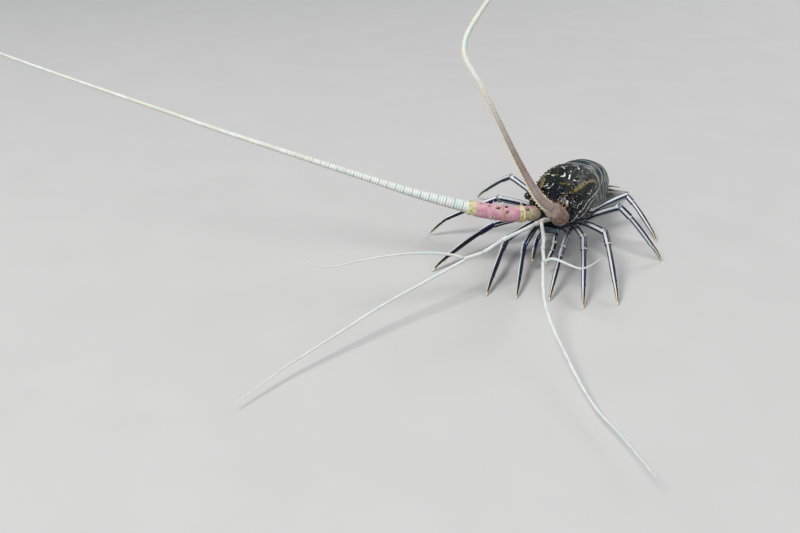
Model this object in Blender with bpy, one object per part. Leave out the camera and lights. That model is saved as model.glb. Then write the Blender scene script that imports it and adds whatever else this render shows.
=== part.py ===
"""A painted spiny lobster, Panulirus versicolor, life size, as a still model on its ten legs.

Metres, +Z up. The head looks along -Y and the animal's left side is at +X. Places and
sizes are in carapace lengths from a point on the floor under the middle of the carapace.
One empty then carries every node to the model's own origin, the middle of its underside.
"""

import math
import random

import bmesh
import bpy
from mathutils import Matrix, Vector

# Driving dimensions
CARAPACE_LENGTH = 0.070
GAP = 0.0003
AXIS_HEIGHT = 0.59
SEAM = GAP / CARAPACE_LENGTH
UP = Vector((0, 0, 1))

# Colours of the painted spiny lobster: colour, roughness
SHELL_NAVY = ((0.010, 0.016, 0.028), 0.35)
SHELL_GREEN = ((0.012, 0.040, 0.036), 0.35)
PINK = ((0.62, 0.33, 0.38), 0.45)
WHITE = ((0.62, 0.62, 0.58), 0.40)
LEG_NAVY = ((0.006, 0.012, 0.035), 0.30)
UNDERSIDE = ((0.20, 0.24, 0.26), 0.50)
EYE_BLACK = ((0.004, 0.004, 0.005), 0.12)

# Carapace stations, front to rear: place, half width, top and bottom from the axis,
# and how far the flanks lie behind the midline
CARAPACE = (
    (-0.52, 0.200, 0.115, 0.125, 0.03),
    (-0.46, 0.245, 0.170, 0.155, 0.02),
    (-0.38, 0.275, 0.215, 0.185, 0.00),
    (-0.26, 0.305, 0.262, 0.215, -0.02),
    (-0.14, 0.328, 0.300, 0.235, -0.05),
    (-0.06, 0.338, 0.318, 0.240, -0.07),
    (-0.03, 0.330, 0.300, 0.240, -0.07),
    (0.00, 0.342, 0.328, 0.240, -0.06),
    (0.10, 0.355, 0.345, 0.240, -0.02),
    (0.22, 0.358, 0.350, 0.240, 0.00),
    (0.34, 0.350, 0.340, 0.230, 0.02),
    (0.43, 0.335, 0.315, 0.210, 0.03),
    (0.45, 0.322, 0.300, 0.205, 0.03),
    (0.50, 0.326, 0.305, 0.200, 0.04),
)
ARCH_STEPS = 16
UNDER_STEPS = 6
RING_ARCH_STEPS = 12

# Rows of carapace spines: degrees from the flank up to the midline, first and last
# place, how many, and the first and last length
SPINE_ROWS = (
    (80, -0.36, -0.14, 3, 0.055, 0.045),
    (61, -0.27, -0.12, 3, 0.090, 0.055),
    (43, -0.31, -0.14, 3, 0.060, 0.045),
    (26, -0.37, -0.14, 3, 0.065, 0.045),
    (11, -0.38, -0.16, 3, 0.050, 0.035),
    (81, 0.06, 0.38, 4, 0.050, 0.030),
    (63, 0.05, 0.38, 4, 0.050, 0.030),
    (45, 0.06, 0.38, 4, 0.045, 0.028),
    (28, 0.05, 0.38, 4, 0.042, 0.026),
    (12, 0.07, 0.36, 3, 0.036, 0.024),
)
SPINE_SLENDERNESS = 0.30
SPINE_SIDES = 5

# Sternum under the carapace: place, half width, depth below the axis
STERNUM = (
    (-0.36, 0.050, 0.262),
    (-0.22, 0.085, 0.285),
    (0.02, 0.125, 0.300),
    (0.24, 0.165, 0.305),
    (0.42, 0.190, 0.300),
    (0.47, 0.170, 0.285),
)
STERNUM_TOP = 0.20

# Abdomen: six rings, each a little smaller and more bowed than the one before
ABDOMEN_START = (0.0, 0.49, 0.60)
SEGMENT_LENGTHS = (0.19, 0.215, 0.215, 0.215, 0.21, 0.20)
SEGMENT_SLOPES = (3, 8, 15, 22, 28, 31)
SEGMENT_HALF_WIDTHS = (0.290, 0.285, 0.275, 0.262, 0.246, 0.226, 0.205)
SEGMENT_HEIGHTS = (0.250, 0.240, 0.228, 0.214, 0.198, 0.180, 0.158)
SEGMENT_DEPTHS = (0.130, 0.130, 0.125, 0.118, 0.110, 0.100, 0.085)
PLEURON_LENGTHS = (0.10, 0.17, 0.18, 0.17, 0.15)
PLEOPOD_RINGS = (1, 2, 3, 4)

# Tail fan
TELSON_SLOPE = 20
TELSON_LENGTH = 0.42
TELSON_HALF_WIDTH = 0.135
UROPOD_LENGTH = 0.46
UROPOD_HALF_WIDTH = 0.120
PLATE_ROOT_THICKNESS = 0.040
PLATE_EDGE_THICKNESS = 0.012

# Legs: knee, then the point of the toe on the floor, for pairs 1 to 5 of each side
KNEES = {
    "right": (
        (-0.20, -0.71, 0.26),
        (-0.44, -0.64, 0.26),
        (-0.70, -0.42, 0.30),
        (-0.78, -0.10, 0.51),
        (-0.83, 0.53, 0.56),
    ),
    "left": (
        (0.24, -0.65, 0.29),
        (0.46, -0.60, 0.45),
        (0.65, -0.37, 0.46),
        (0.74, -0.15, 0.71),
        (0.60, 0.90, 0.43),
    ),
}
TOES = {
    "right": ((0.00, -1.51), (-0.32, -1.60), (-1.10, -1.34), (-1.54, -0.47), (-1.42, 0.89)),
    "left": ((0.34, -1.40), (0.72, -1.40), (1.04, -1.16), (1.26, 0.11), (1.10, 0.60)),
}
# How far each ankle is bowed up from the line between knee and toe
ANKLE_BOWS = {
    "right": (0.035, 0.040, 0.045, 0.095, 0.040),
    "left": (0.035, 0.035, 0.040, 0.030, 0.040),
}
CARPUS_BOW = 0.030
# Places of the carpus and ankle between knee and toe
CARPUS_SHARE = 0.22
ANKLE_SHARE = 0.74
# Radii along a leg: three at the hip, three to the knee, two to the carpus, three to
# the ankle and three to the toe
LEG_RADII = (
    *(0.046, 0.044, 0.034),
    *(0.038, 0.041, 0.036),
    *(0.037, 0.033),
    *(0.028, 0.029, 0.024),
    *(0.020, 0.015, 0.009),
)
LEG_STOUTNESS = (0.92, 1.0, 1.04, 1.02, 0.96)
TOE_SINK = 0.004
HIP_FRONT = -0.16
HIP_SPACING = 0.140
HIP_HALF_WIDTH = 0.10
HIP_WIDENING = 0.022
HIP_HEIGHT = 0.335
COXA_LENGTH = 0.13
LEG_SIDES = 8

# Antennae: joints of the peduncle
ANTENNA = {
    "right": (
        (-0.150, -0.45, 0.585),
        (-0.296, -0.694, 0.634),
        (-0.472, -0.820, 0.659),
        (-0.810, -1.021, 0.752),
    ),
    "left": (
        (0.150, -0.44, 0.590),
        (0.185, -0.707, 0.703),
        (0.206, -0.933, 0.855),
        (0.297, -1.440, 1.103),
    ),
}
# Each antenna segment's rings: places along it, and its radii at the root, middle and end
PEDUNCLE_STATIONS = (0.0, 0.25, 0.80, 1.0)
PEDUNCLE_RADII = (
    (0.080, 0.092, 0.096),
    (0.086, 0.091, 0.090),
    (0.083, 0.089, 0.080),
)
PEDUNCLE_SIDES = 14
# Thorns of each segment: share of its length, degrees round it from outside over the top, length
PEDUNCLE_SPINES = (
    ((0.78, 60, 0.070), (0.80, 110, 0.060), (0.82, 205, 0.055), (0.78, 335, 0.055)),
    ((0.82, 40, 0.060), (0.84, 90, 0.075), (0.84, 140, 0.060), (0.30, 215, 0.055), (0.78, 215, 0.070)),
    (
        (0.18, 65, 0.060),
        (0.42, 70, 0.050),
        (0.66, 75, 0.045),
        (0.20, 125, 0.055),
        (0.50, 130, 0.045),
        (0.14, 215, 0.065),
        (0.36, 218, 0.060),
        (0.58, 222, 0.050),
        (0.30, 345, 0.045),
        (0.60, 350, 0.040),
    ),
)

# The way each whip takes from its socket in the last segment
WHIPS = {
    "right": (
        (-0.772, -0.999, 0.742),
        (-1.34, -1.22, 0.89),
        (-1.81, -1.38, 1.03),
        (-2.40, -1.58, 1.21),
        (-2.97, -1.78, 1.39),
        (-3.56, -1.97, 1.57),
        (-4.13, -2.16, 1.76),
        (-4.72, -2.35, 1.95),
        (-5.29, -2.54, 2.14),
        (-5.87, -2.73, 2.34),
        (-6.40, -2.88, 2.53),
    ),
    "left": (
        (0.273, -1.395, 1.097),
        (0.172, -1.419, 1.172),
        (0.061, -1.387, 1.274),
        (-0.064, -1.339, 1.413),
        (-0.261, -1.238, 1.633),
        (-0.427, -1.144, 1.828),
        (-0.607, -1.048, 2.037),
        (-0.76, -0.96, 2.20),
        (-0.92, -0.89, 2.36),
        (-0.99, -0.84, 2.47),
        (-1.02, -0.74, 2.59),
        (-0.99, -0.61, 2.73),
        (-0.94, -0.44, 2.88),
        (-0.86, -0.22, 3.08),
        (-0.74, 0.09, 3.36),
        (-0.58, 0.49, 3.66),
        (-0.38, 0.93, 3.92),
    ),
}
# How thick a whip is along its length: share of the length, radius
WHIP_RADII = {
    "right": (
        (0.0, 0.070),
        (0.03, 0.064),
        (0.09, 0.052),
        (0.16, 0.041),
        (0.20, 0.037),
        (0.31, 0.031),
        (0.51, 0.0235),
        (0.71, 0.0195),
        (0.90, 0.015),
        (1.0, 0.006),
    ),
    "left": (
        (0.0, 0.064),
        (0.04, 0.054),
        (0.10, 0.043),
        (0.17, 0.037),
        (0.25, 0.032),
        (0.45, 0.028),
        (0.60, 0.026),
        (0.80, 0.020),
        (1.0, 0.006),
    ),
}
WHIP_SIDES = 8
WHIP_STEPS = 24
WHIP_LENGTHS = 3

# Antennules: the joints of the peduncle, then the long and the short flagellum
ANTENNULE = {
    "right": (
        (-0.034, -0.45, 0.535),
        (-0.091, -0.680, 0.547),
        (-0.31, -1.19, 0.52),
        (-0.42, -1.47, 0.47),
        (-0.56, -1.72, 0.47),
    ),
    "left": (
        (0.034, -0.45, 0.545),
        (-0.035, -0.664, 0.586),
        (0.13, -1.07, 0.57),
        (0.19, -1.30, 0.57),
        (0.30, -1.60, 0.58),
    ),
}
# Radius of each segment of an antennule's peduncle, and how it swells along a segment
ANTENNULE_RADII = (0.028, 0.024, 0.022, 0.021)
ANTENNULE_SWELL = ((0.0, 1.0), (0.5, 0.88), (0.93, 1.05))
FEELER_LONG = {
    "right": (
        (-0.56, -1.72, 0.47),
        (-0.80, -2.24, 0.38),
        (-1.03, -2.73, 0.30),
        (-1.27, -3.36, 0.20),
        (-1.46, -3.90, 0.13),
        (-1.55, -4.28, 0.09),
        (-1.60, -4.52, 0.08),
    ),
    "left": (
        (0.30, -1.60, 0.58),
        (0.46, -2.04, 0.41),
        (0.66, -2.37, 0.30),
        (0.88, -2.66, 0.23),
        (1.06, -2.90, 0.18),
        (1.33, -3.23, 0.14),
        (1.62, -3.52, 0.15),
        (1.99, -3.96, 0.20),
    ),
}
FEELER_SHORT = {
    "right": (
        (-0.56, -1.72, 0.47),
        (-0.68, -1.81, 0.53),
        (-0.89, -1.99, 0.59),
        (-1.13, -2.22, 0.62),
        (-1.39, -2.51, 0.63),
        (-1.62, -2.78, 0.63),
        (-1.83, -2.95, 0.72),
    ),
    "left": (
        (0.30, -1.60, 0.58),
        (0.39, -1.64, 0.65),
        (0.49, -1.70, 0.68),
        (0.62, -1.78, 0.70),
        (0.75, -1.86, 0.73),
        (0.85, -1.92, 0.81),
        (0.97, -1.99, 0.96),
    ),
}

FEELER_STEPS = 10
LONG_RADII = ((0.0, 0.018), (0.5, 0.014), (1.0, 0.005))
SHORT_RADII = ((0.0, 0.016), (0.5, 0.011), (1.0, 0.005))

# Third maxillipeds, which hang under the head
MAXILLIPED = {
    "right": (
        (-0.065, -0.34, 0.37),
        (-0.085, -0.60, 0.315),
        (-0.070, -0.72, 0.27),
        (-0.060, -0.80, 0.12),
    ),
    "left": (
        (0.065, -0.34, 0.37),
        (0.135, -0.64, 0.315),
        (0.140, -0.72, 0.27),
        (0.105, -0.80, 0.12),
    ),
}

# Epistome and jaws, and the plate between the antennae: place, half width, top, bottom
MOUTH = (
    (-0.30, 0.120, 0.400, 0.330),
    (-0.42, 0.130, 0.440, 0.345),
    (-0.50, 0.120, 0.455, 0.375),
    (-0.56, 0.090, 0.450, 0.400),
)
MOUTH_SIDES = 12
ANTENNULAR_PLATE = (
    (-0.44, 0.050, 0.685, 0.615),
    (-0.53, 0.040, 0.690, 0.620),
    (-0.57, 0.026, 0.690, 0.620),
)
PLATE_SIDES = 10
# Paired thorns of the plate: place and length
PLATE_SPINES = ((-0.545, 0.060), (-0.500, 0.045))
PLATE_SPINE_SPREAD = 0.020
PLATE_SPINE_HEIGHT = 0.682

# Horns over the eyes and the eyes themselves, for the left side
HORN = ((0.125, -0.38, 0.765), (0.135, -0.49, 0.790), (0.150, -0.60, 0.855), (0.158, -0.69, 0.940))
HORN_RADII = ((0.046, 0.050), (0.040, 0.050), (0.024, 0.034), (0.006, 0.008))
EYE_STALK = ((0.160, -0.42, 0.735), (0.222, -0.480, 0.778), (0.264, -0.510, 0.800))
EYE_RADIUS = 0.047


def at(place):
    """A place given in carapace lengths, in metres."""
    return Vector(place) * CARAPACE_LENGTH


def side_sign(side):
    return 1 if side == "left" else -1


def mirrored(places, side):
    """Places given for the left side, on the named side."""
    return [(x * side_sign(side), y, z) for x, y, z in places]


def smooth_value(knots, t):
    """The value at t of a smooth curve through (t, value) knots."""
    last = len(knots) - 1
    i = 0
    while i < last - 1 and t > knots[i + 1][0]:
        i += 1
    (t0, v0), (t1, v1) = knots[i], knots[i + 1]
    before = knots[max(i - 1, 0)]
    after = knots[min(i + 2, last)]
    span = t1 - t0
    slope0 = (v1 - before[1]) / (t1 - before[0]) * span
    slope1 = (after[1] - v0) / (after[0] - t0) * span
    u = (t - t0) / span
    ease = u * u * (3 - 2 * u)
    return v0 + (v1 - v0) * ease + slope0 * u * (1 - u) ** 2 - slope1 * u * u * (1 - u)


def smooth_path(places, steps):
    """Points along a smooth curve through the places, evenly stepped by its length."""
    lengths = [0.0]
    for a, b in zip(places, places[1:]):
        lengths.append(lengths[-1] + (Vector(b) - Vector(a)).length)
    path = []
    for step in range(steps + 1):
        t = lengths[-1] * step / steps
        path.append(Vector([smooth_value(list(zip(lengths, axis)), t) for axis in zip(*places)]))
    return path


def tube_rings(path, radii, sides, up=UP):
    """Rings square to a path, whose radii are (across, upward) pairs, with their tangents."""
    rings = []
    tangents = []
    last = len(path) - 1
    for i, centre in enumerate(path):
        ahead = path[min(i + 1, last)] - path[min(i, last - 1)]
        behind = path[max(i, 1)] - path[max(i, 1) - 1]
        tangent = (ahead.normalized() + behind.normalized()).normalized()
        up = (up - tangent * up.dot(tangent)).normalized()
        across = tangent.cross(up)
        wide, tall = radii[i]
        ring = []
        for k in range(sides):
            angle = 2 * math.pi * k / sides
            ring.append(centre + across * wide * math.cos(angle) + up * tall * math.sin(angle))
        rings.append(ring)
        tangents.append(tangent)
    return rings, tangents


def moved(ring, step):
    return [point + step for point in ring]


def mesh_object(mesh, name):
    """An object of a bmesh whose places are in carapace lengths."""
    bmesh.ops.scale(mesh, vec=Vector((1, 1, 1)) * CARAPACE_LENGTH, verts=mesh.verts)
    bmesh.ops.recalc_face_normals(mesh, faces=mesh.faces)
    data = bpy.data.meshes.new(name)
    mesh.to_mesh(data)
    mesh.free()
    obj = bpy.data.objects.new(name, data)
    LOBSTER.objects.link(obj)
    return obj


def loft(name, rings):
    """A closed skin through rings, each end closed by a fan to its middle."""
    mesh = bmesh.new()
    loops = [[mesh.verts.new(point) for point in ring] for ring in rings]
    count = len(rings[0])
    for near, far in zip(loops, loops[1:]):
        for i in range(count):
            j = (i + 1) % count
            mesh.faces.new((near[i], near[j], far[j], far[i]))
    for loop, ring in ((loops[0], rings[0]), (loops[-1], rings[-1])):
        middle = mesh.verts.new(sum(ring, Vector()) / count)
        for i in range(count):
            mesh.faces.new((loop[i], loop[(i + 1) % count], middle))
    return mesh_object(mesh, name)


def tube(name, path, radii, sides, up=UP):
    """A closed limb along a path."""
    rings, _ = tube_rings([Vector(place) for place in path], radii, sides, up)
    return loft(name, rings)


def settle(obj):
    """Apply an object's modifiers and keep only its largest closed surface."""
    bpy.context.view_layer.update()
    graph = bpy.context.evaluated_depsgraph_get()
    solid = bpy.data.meshes.new_from_object(obj.evaluated_get(graph))
    obj.modifiers.clear()
    old = obj.data
    obj.data = solid
    bpy.data.meshes.remove(old)
    keep_largest(obj)


def keep_largest(obj):
    mesh = bmesh.new()
    mesh.from_mesh(obj.data)
    mesh.faces.ensure_lookup_table()
    unseen = set(mesh.faces)
    surfaces = []
    while unseen:
        front = [unseen.pop()]
        surface = []
        while front:
            face = front.pop()
            surface.append(face)
            for edge in face.edges:
                for other in edge.link_faces:
                    if other in unseen:
                        unseen.remove(other)
                        front.append(other)
        surfaces.append(surface)
    surfaces.sort(key=lambda faces: sum(face.calc_area() for face in faces))
    scraps = [face for surface in surfaces[:-1] for face in surface]
    bmesh.ops.delete(mesh, geom=scraps, context="FACES")
    mesh.to_mesh(obj.data)
    mesh.free()


def join(base, pieces):
    """Fuse closed pieces to a node by one union, and drop the pieces."""
    if not pieces:
        return base
    group = bpy.data.collections.new("pieces")
    bpy.context.scene.collection.children.link(group)
    for piece in pieces:
        LOBSTER.objects.unlink(piece)
        group.objects.link(piece)
    union = base.modifiers.new("join", "BOOLEAN")
    union.operation = "UNION"
    union.operand_type = "COLLECTION"
    union.collection = group
    settle(base)
    for piece in pieces:
        bpy.data.objects.remove(piece)
    bpy.data.collections.remove(group)
    return base


def grown_copy(obj, gap):
    """A cutter: the node's shape, larger all round by the gap."""
    cutter = obj.copy()
    cutter.data = obj.data.copy()
    cutter.name = f"cutter_{obj.name}"
    mesh = bmesh.new()
    mesh.from_mesh(cutter.data)
    mesh.normal_update()
    moves = [(vert, vert.normal * gap * vert.calc_shell_factor()) for vert in mesh.verts]
    for vert, move in moves:
        vert.co += move
    mesh.to_mesh(cutter.data)
    mesh.free()
    CUTTERS.objects.link(cutter)
    cutter.hide_render = True
    return cutter


def carve(obj, cutters):
    """Cut a node back to the faces of the nodes that it grows from."""
    for cutter in cutters:
        cut = obj.modifiers.new("root", "BOOLEAN")
        cut.operation = "DIFFERENCE"
        cut.object = cutter
        settle(obj)


def cut_sole(obj):
    """Cut a toe flat at the floor."""
    mesh = bmesh.new()
    mesh.from_mesh(obj.data)
    geometry = mesh.verts[:] + mesh.edges[:] + mesh.faces[:]
    cut = bmesh.ops.bisect_plane(
        mesh, geom=geometry, plane_co=(0, 0, 0), plane_no=-UP, clear_outer=True
    )
    edges = [item for item in cut["geom_cut"] if isinstance(item, bmesh.types.BMEdge)]
    bmesh.ops.contextual_create(mesh, geom=edges)
    bmesh.ops.recalc_face_normals(mesh, faces=mesh.faces)
    mesh.to_mesh(obj.data)
    mesh.free()


def paint(obj, finish):
    colour, roughness = finish
    material = bpy.data.materials.new(obj.name)
    material.use_nodes = True
    shader = material.node_tree.nodes["Principled BSDF"]
    shader.inputs["Base Color"].default_value = (*colour, 1)
    shader.inputs["Roughness"].default_value = roughness
    shader.inputs["Metallic"].default_value = 0
    obj.data.materials.clear()
    obj.data.materials.append(material)


def seat(obj, root, finish):
    """Paint a node, set its origin at its root and hang it on the model's empty."""
    paint(obj, finish)
    origin = at(root)
    obj.data.transform(Matrix.Translation(-origin))
    obj.location = origin
    obj.parent = CARRIER
    return obj


def section(place, half_width, top, bottom, sweep, height, arch_steps=ARCH_STEPS):
    """One upright body section: an arch above and a flatter underside."""
    ring = []
    angles = [math.pi * i / arch_steps for i in range(arch_steps + 1)]
    angles += [math.pi * (1 + i / UNDER_STEPS) for i in range(1, UNDER_STEPS)]
    for angle in angles:
        across = math.cos(angle)
        rise = math.sin(angle)
        if rise >= -1e-9:
            x = math.copysign(abs(across) ** 0.92, across)
            z = top * max(rise, 0) ** 0.90
        else:
            x = math.copysign(abs(across) ** 0.60, across) * (1 - 0.10 * abs(rise))
            z = -bottom * abs(rise) ** 0.70
        ring.append(Vector((half_width * x, place + sweep * x * x, height + z)))
    return ring


def make_carapace():
    rings = [section(*station, AXIS_HEIGHT) for station in CARAPACE]
    return loft("carapace", rings)


def carapace_point(place, degrees, side):
    """A point of the carapace's faceted surface and the direction out of it."""
    i = 0
    while i < len(CARAPACE) - 2 and place > CARAPACE[i + 1][0]:
        i += 1
    near, far = CARAPACE[i], CARAPACE[i + 1]
    share = (place - near[0]) / (far[0] - near[0])
    width, top, sweep = (near[k] + (far[k] - near[k]) * share for k in (1, 2, 4))
    angle = math.radians(degrees)
    across = math.cos(angle) ** 0.92
    rise = math.sin(angle) ** 0.90
    sign = side_sign(side)
    point = Vector((sign * width * across, place + sweep * across * across, AXIS_HEIGHT + top * rise))
    normal = Vector((sign * math.cos(angle) / width, 0, math.sin(angle) / top)).normalized()
    return point, normal


def spine(root, direction, length, radius, sunk):
    """A straight-sided thorn whose foot lies below the surface that carries it."""
    mesh = bmesh.new()
    bmesh.ops.create_cone(
        mesh,
        cap_ends=True,
        segments=SPINE_SIDES,
        radius1=radius,
        radius2=radius * 0.12,
        depth=length + sunk,
    )
    turn = direction.normalized().to_track_quat("Z", "Y").to_matrix().to_4x4()
    middle = root + direction.normalized() * (length - sunk) / 2
    bmesh.ops.transform(mesh, matrix=Matrix.Translation(middle) @ turn, verts=mesh.verts)
    return mesh_object(mesh, "spine")


def carapace_spines():
    """Thorns in rows along both sides, longest at the front and all leaning forward."""
    chance = random.Random(7)
    spines = []
    for side in ("left", "right"):
        for degrees, first, last, count, first_length, last_length in SPINE_ROWS:
            for k in range(count):
                share = k / (count - 1)
                place = first + (last - first) * share + chance.uniform(-0.010, 0.010)
                length = (first_length + (last_length - first_length) * share) * chance.uniform(0.88, 1.12)
                root, normal = carapace_point(place, degrees + chance.uniform(-2.5, 2.5), side)
                lean = normal * 0.75 + Vector((0, -0.85, 0))
                spines.append(spine(root, lean, length, length * SPINE_SLENDERNESS, 0.016))
    return spines


def make_sternum(carapace_cutter):
    rings = []
    for place, half_width, depth in STERNUM:
        low = AXIS_HEIGHT - depth
        high = AXIS_HEIGHT - STERNUM_TOP
        middle = (low + high) / 2
        outline = (
            (-half_width, high),
            (-half_width, middle),
            (-half_width * 0.7, low),
            (0, low + 0.008),
            (half_width * 0.7, low),
            (half_width, middle),
            (half_width, high),
        )
        rings.append([Vector((x, place, z)) for x, z in outline])
    sternum = loft("thorax_floor", rings)
    carve(sternum, [carapace_cutter])
    return sternum


def abdomen_frames():
    """Centres and tangents of the seven planes that part the abdomen's rings."""
    centre = Vector(ABDOMEN_START)
    slopes = [math.radians(slope) for slope in SEGMENT_SLOPES]
    frames = [(centre.copy(), slopes[0])]
    for i, (length, slope) in enumerate(zip(SEGMENT_LENGTHS, slopes)):
        centre = centre + Vector((0, math.cos(slope), -math.sin(slope))) * length
        following = slopes[min(i + 1, len(slopes) - 1)]
        frames.append((centre.copy(), (slope + following) / 2))
    return frames


def abdomen_ring(centre, slope, half_width, top, bottom):
    flat = section(0, half_width, top, bottom, 0, 0, RING_ARCH_STEPS)
    tilt = Matrix.Rotation(-slope, 3, "X")
    return [centre + tilt @ point for point in flat]


def make_abdomen(carapace_cutter):
    frames = abdomen_frames()
    segments = []
    for i in range(6):
        (start, slope0), (end, slope1) = frames[i], frames[i + 1]
        rings = []
        for share, swell in ((0.0, 0.93), (0.12, 0.985), (0.5, 1.01), (0.88, 1.02), (1.0, 0.985)):
            centre = start.lerp(end, share)
            centre.z += 0.012 * math.sin(math.pi * share)
            slope = slope0 + (slope1 - slope0) * share
            sizes = []
            for table in (SEGMENT_HALF_WIDTHS, SEGMENT_HEIGHTS, SEGMENT_DEPTHS):
                sizes.append((table[i] + (table[i + 1] - table[i]) * share) * swell)
            rings.append(abdomen_ring(centre, slope, *sizes))
        if i > 0:
            step = Vector((0, math.cos(slope0), -math.sin(slope0))) * SEAM
            rings[0] = moved(rings[0], step)
        segment = loft(f"abdomen_{i + 1}", rings)
        cutter = grown_copy(segment, GAP)
        lobes = []
        for side in ("left", "right"):
            if i < len(PLEURON_LENGTHS):
                lobes.append(pleuron(i, side, start, end, slope1))
            if i in PLEOPOD_RINGS:
                lobes.append(pleopod(i, side, start, end))
        join(segment, lobes)
        if i == 0:
            carve(segment, [carapace_cutter])
        segments.append(segment)
    return segments, cutter


def pleopod(i, side, start, end):
    """One of the paired paddles under rings two to five."""
    sign = side_sign(side)
    middle = start.lerp(end, 0.40)
    low = SEGMENT_DEPTHS[i]
    root = middle + Vector((sign * 0.115, 0, -low * 0.80))
    path = [
        root,
        root + Vector((sign * 0.006, 0.012, -0.050)),
        root + Vector((sign * 0.010, 0.050, -0.095)),
        root + Vector((sign * 0.008, 0.085, -0.125)),
    ]
    radii = [(0.030, 0.012), (0.046, 0.011), (0.046, 0.009), (0.014, 0.005)]
    return tube("paddle", path, radii, 6, Vector((0, 1, 0)))


def pleuron(i, side, start, end, slope):
    """The pointed lobe that hangs from the side of one ring."""
    sign = side_sign(side)
    middle = start.lerp(end, 0.42)
    width = SEGMENT_HALF_WIDTHS[i]
    length = PLEURON_LENGTHS[i]
    back = Vector((0, math.cos(slope), -math.sin(slope)))
    root = middle + Vector((sign * width * 0.86, 0, -0.02))
    path = [
        root,
        root + Vector((sign * 0.020, 0, -0.075)) + back * 0.005,
        root + Vector((sign * 0.030, 0, -0.080 - length * 0.45)) + back * 0.035,
        root + Vector((sign * 0.022, 0, -0.080 - length)) + back * 0.100,
    ]
    radii = [(0.075, 0.022), (0.078, 0.022), (0.048, 0.018), (0.006, 0.005)]
    return tube("lobe", path, radii, 6, Vector((sign, 0, 0)))


def plate(name, root, heading, slope, length, half_width):
    """A tail plate with raised rays: narrow at its root and round at its end."""
    rings = []
    columns = 8
    shares = (0.0, 0.12, 0.32, 0.62, 0.86, 0.97, 1.0)
    widths = (0.34, 0.54, 0.86, 1.00, 0.86, 0.52, 0.16)
    turn = Matrix.Rotation(-slope, 3, "X") @ Matrix.Rotation(-heading, 3, "Z")
    for share, width in zip(shares, widths):
        thick = PLATE_ROOT_THICKNESS + (PLATE_EDGE_THICKNESS - PLATE_ROOT_THICKNESS) * min(share * 1.6, 1)
        upper = []
        lower = []
        for k in range(columns + 1):
            u = 2 * k / columns - 1
            ridge = 0.0035 if k % 2 == 0 else 0.0
            edge = thick / 2 * (1 - 0.55 * abs(u) ** 3)
            bulge = length * share * (1 - 0.05 * u * u)
            x = half_width * width * u
            upper.append(Vector((x, bulge, edge + ridge)))
            lower.append(Vector((x, bulge, -edge)))
        ring = upper + lower[::-1]
        rings.append([Vector(root) + turn @ point for point in ring])
    return loft(name, rings)


def make_tail(cutter):
    end = abdomen_frames()[-1][0]
    nodes = {}
    slope = math.radians(TELSON_SLOPE)
    root = end + Vector((0, -0.05, 0.036))
    nodes["telson"] = plate("telson", root, 0, slope, TELSON_LENGTH + 0.05, TELSON_HALF_WIDTH)
    for side in ("left", "right"):
        sign = side_sign(side)
        inner = end + Vector((sign * 0.075, -0.05, -0.012))
        outer = end + Vector((sign * 0.105, -0.05, -0.060))
        nodes[f"tail_{side}_inner"] = plate(
            f"tail_{side}_inner",
            inner,
            sign * math.radians(24),
            slope,
            UROPOD_LENGTH,
            UROPOD_HALF_WIDTH,
        )
        nodes[f"tail_{side}_outer"] = plate(
            f"tail_{side}_outer",
            outer,
            sign * math.radians(52),
            slope,
            UROPOD_LENGTH * 0.98,
            UROPOD_HALF_WIDTH,
        )
    for node in nodes.values():
        carve(node, [cutter])
    return nodes


def along(start, end, share):
    return start + (end - start) * share


def make_leg(side, number, cutters):
    """One walking leg in two nodes, parted at the knee, with a flat sole under its toe."""
    sign = side_sign(side)
    hip_out = HIP_HALF_WIDTH + HIP_WIDENING * number
    hip = Vector((sign * hip_out, HIP_FRONT + HIP_SPACING * number, HIP_HEIGHT))
    knee = Vector(KNEES[side][number])
    toe_x, toe_y = TOES[side][number]
    toe = Vector((toe_x, toe_y, -TOE_SINK))
    level = Vector((knee.x - hip.x, knee.y - hip.y, 0)).normalized()
    outward = (level + Vector((sign * 0.8, 0, 0))).normalized()
    coxa = hip + outward * COXA_LENGTH
    bow = ANKLE_BOWS[side][number]
    carpus = along(knee, toe, CARPUS_SHARE) + UP * CARPUS_BOW
    ankle = along(knee, toe, ANKLE_SHARE) + UP * bow
    path = [
        hip,
        coxa,
        along(coxa, knee, 0.12),
        along(coxa, knee, 0.50),
        along(coxa, knee, 0.86),
        knee,
        along(knee, carpus, 0.55),
        carpus,
        along(carpus, ankle, 0.14),
        along(carpus, ankle, 0.55),
        ankle,
        along(ankle, toe, 0.16),
        along(ankle, toe, 0.60) + UP * bow * 0.25,
        toe,
    ]
    stout = LEG_STOUTNESS[number]
    radii = [(size * stout * 0.92, size * stout * 1.06) for size in LEG_RADII]
    rings, tangents = tube_rings(path, radii, LEG_SIDES)
    split = path.index(knee)
    upper = loft(f"leg_{side}_{number + 1}_upper", rings[: split + 1])
    crest = rings[split - 1][LEG_SIDES // 4]
    along_limb = (knee - coxa).normalized()
    join(upper, [spine(crest, along_limb + UP * 0.55, 0.055, 0.014, 0.018)])
    carve(upper, cutters)
    below = moved(rings[split], tangents[split] * SEAM)
    lower = loft(f"leg_{side}_{number + 1}_lower", [below] + rings[split + 1 :])
    cut_sole(lower)
    seat(upper, hip, LEG_NAVY)
    seat(lower, knee, LEG_NAVY)


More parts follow.
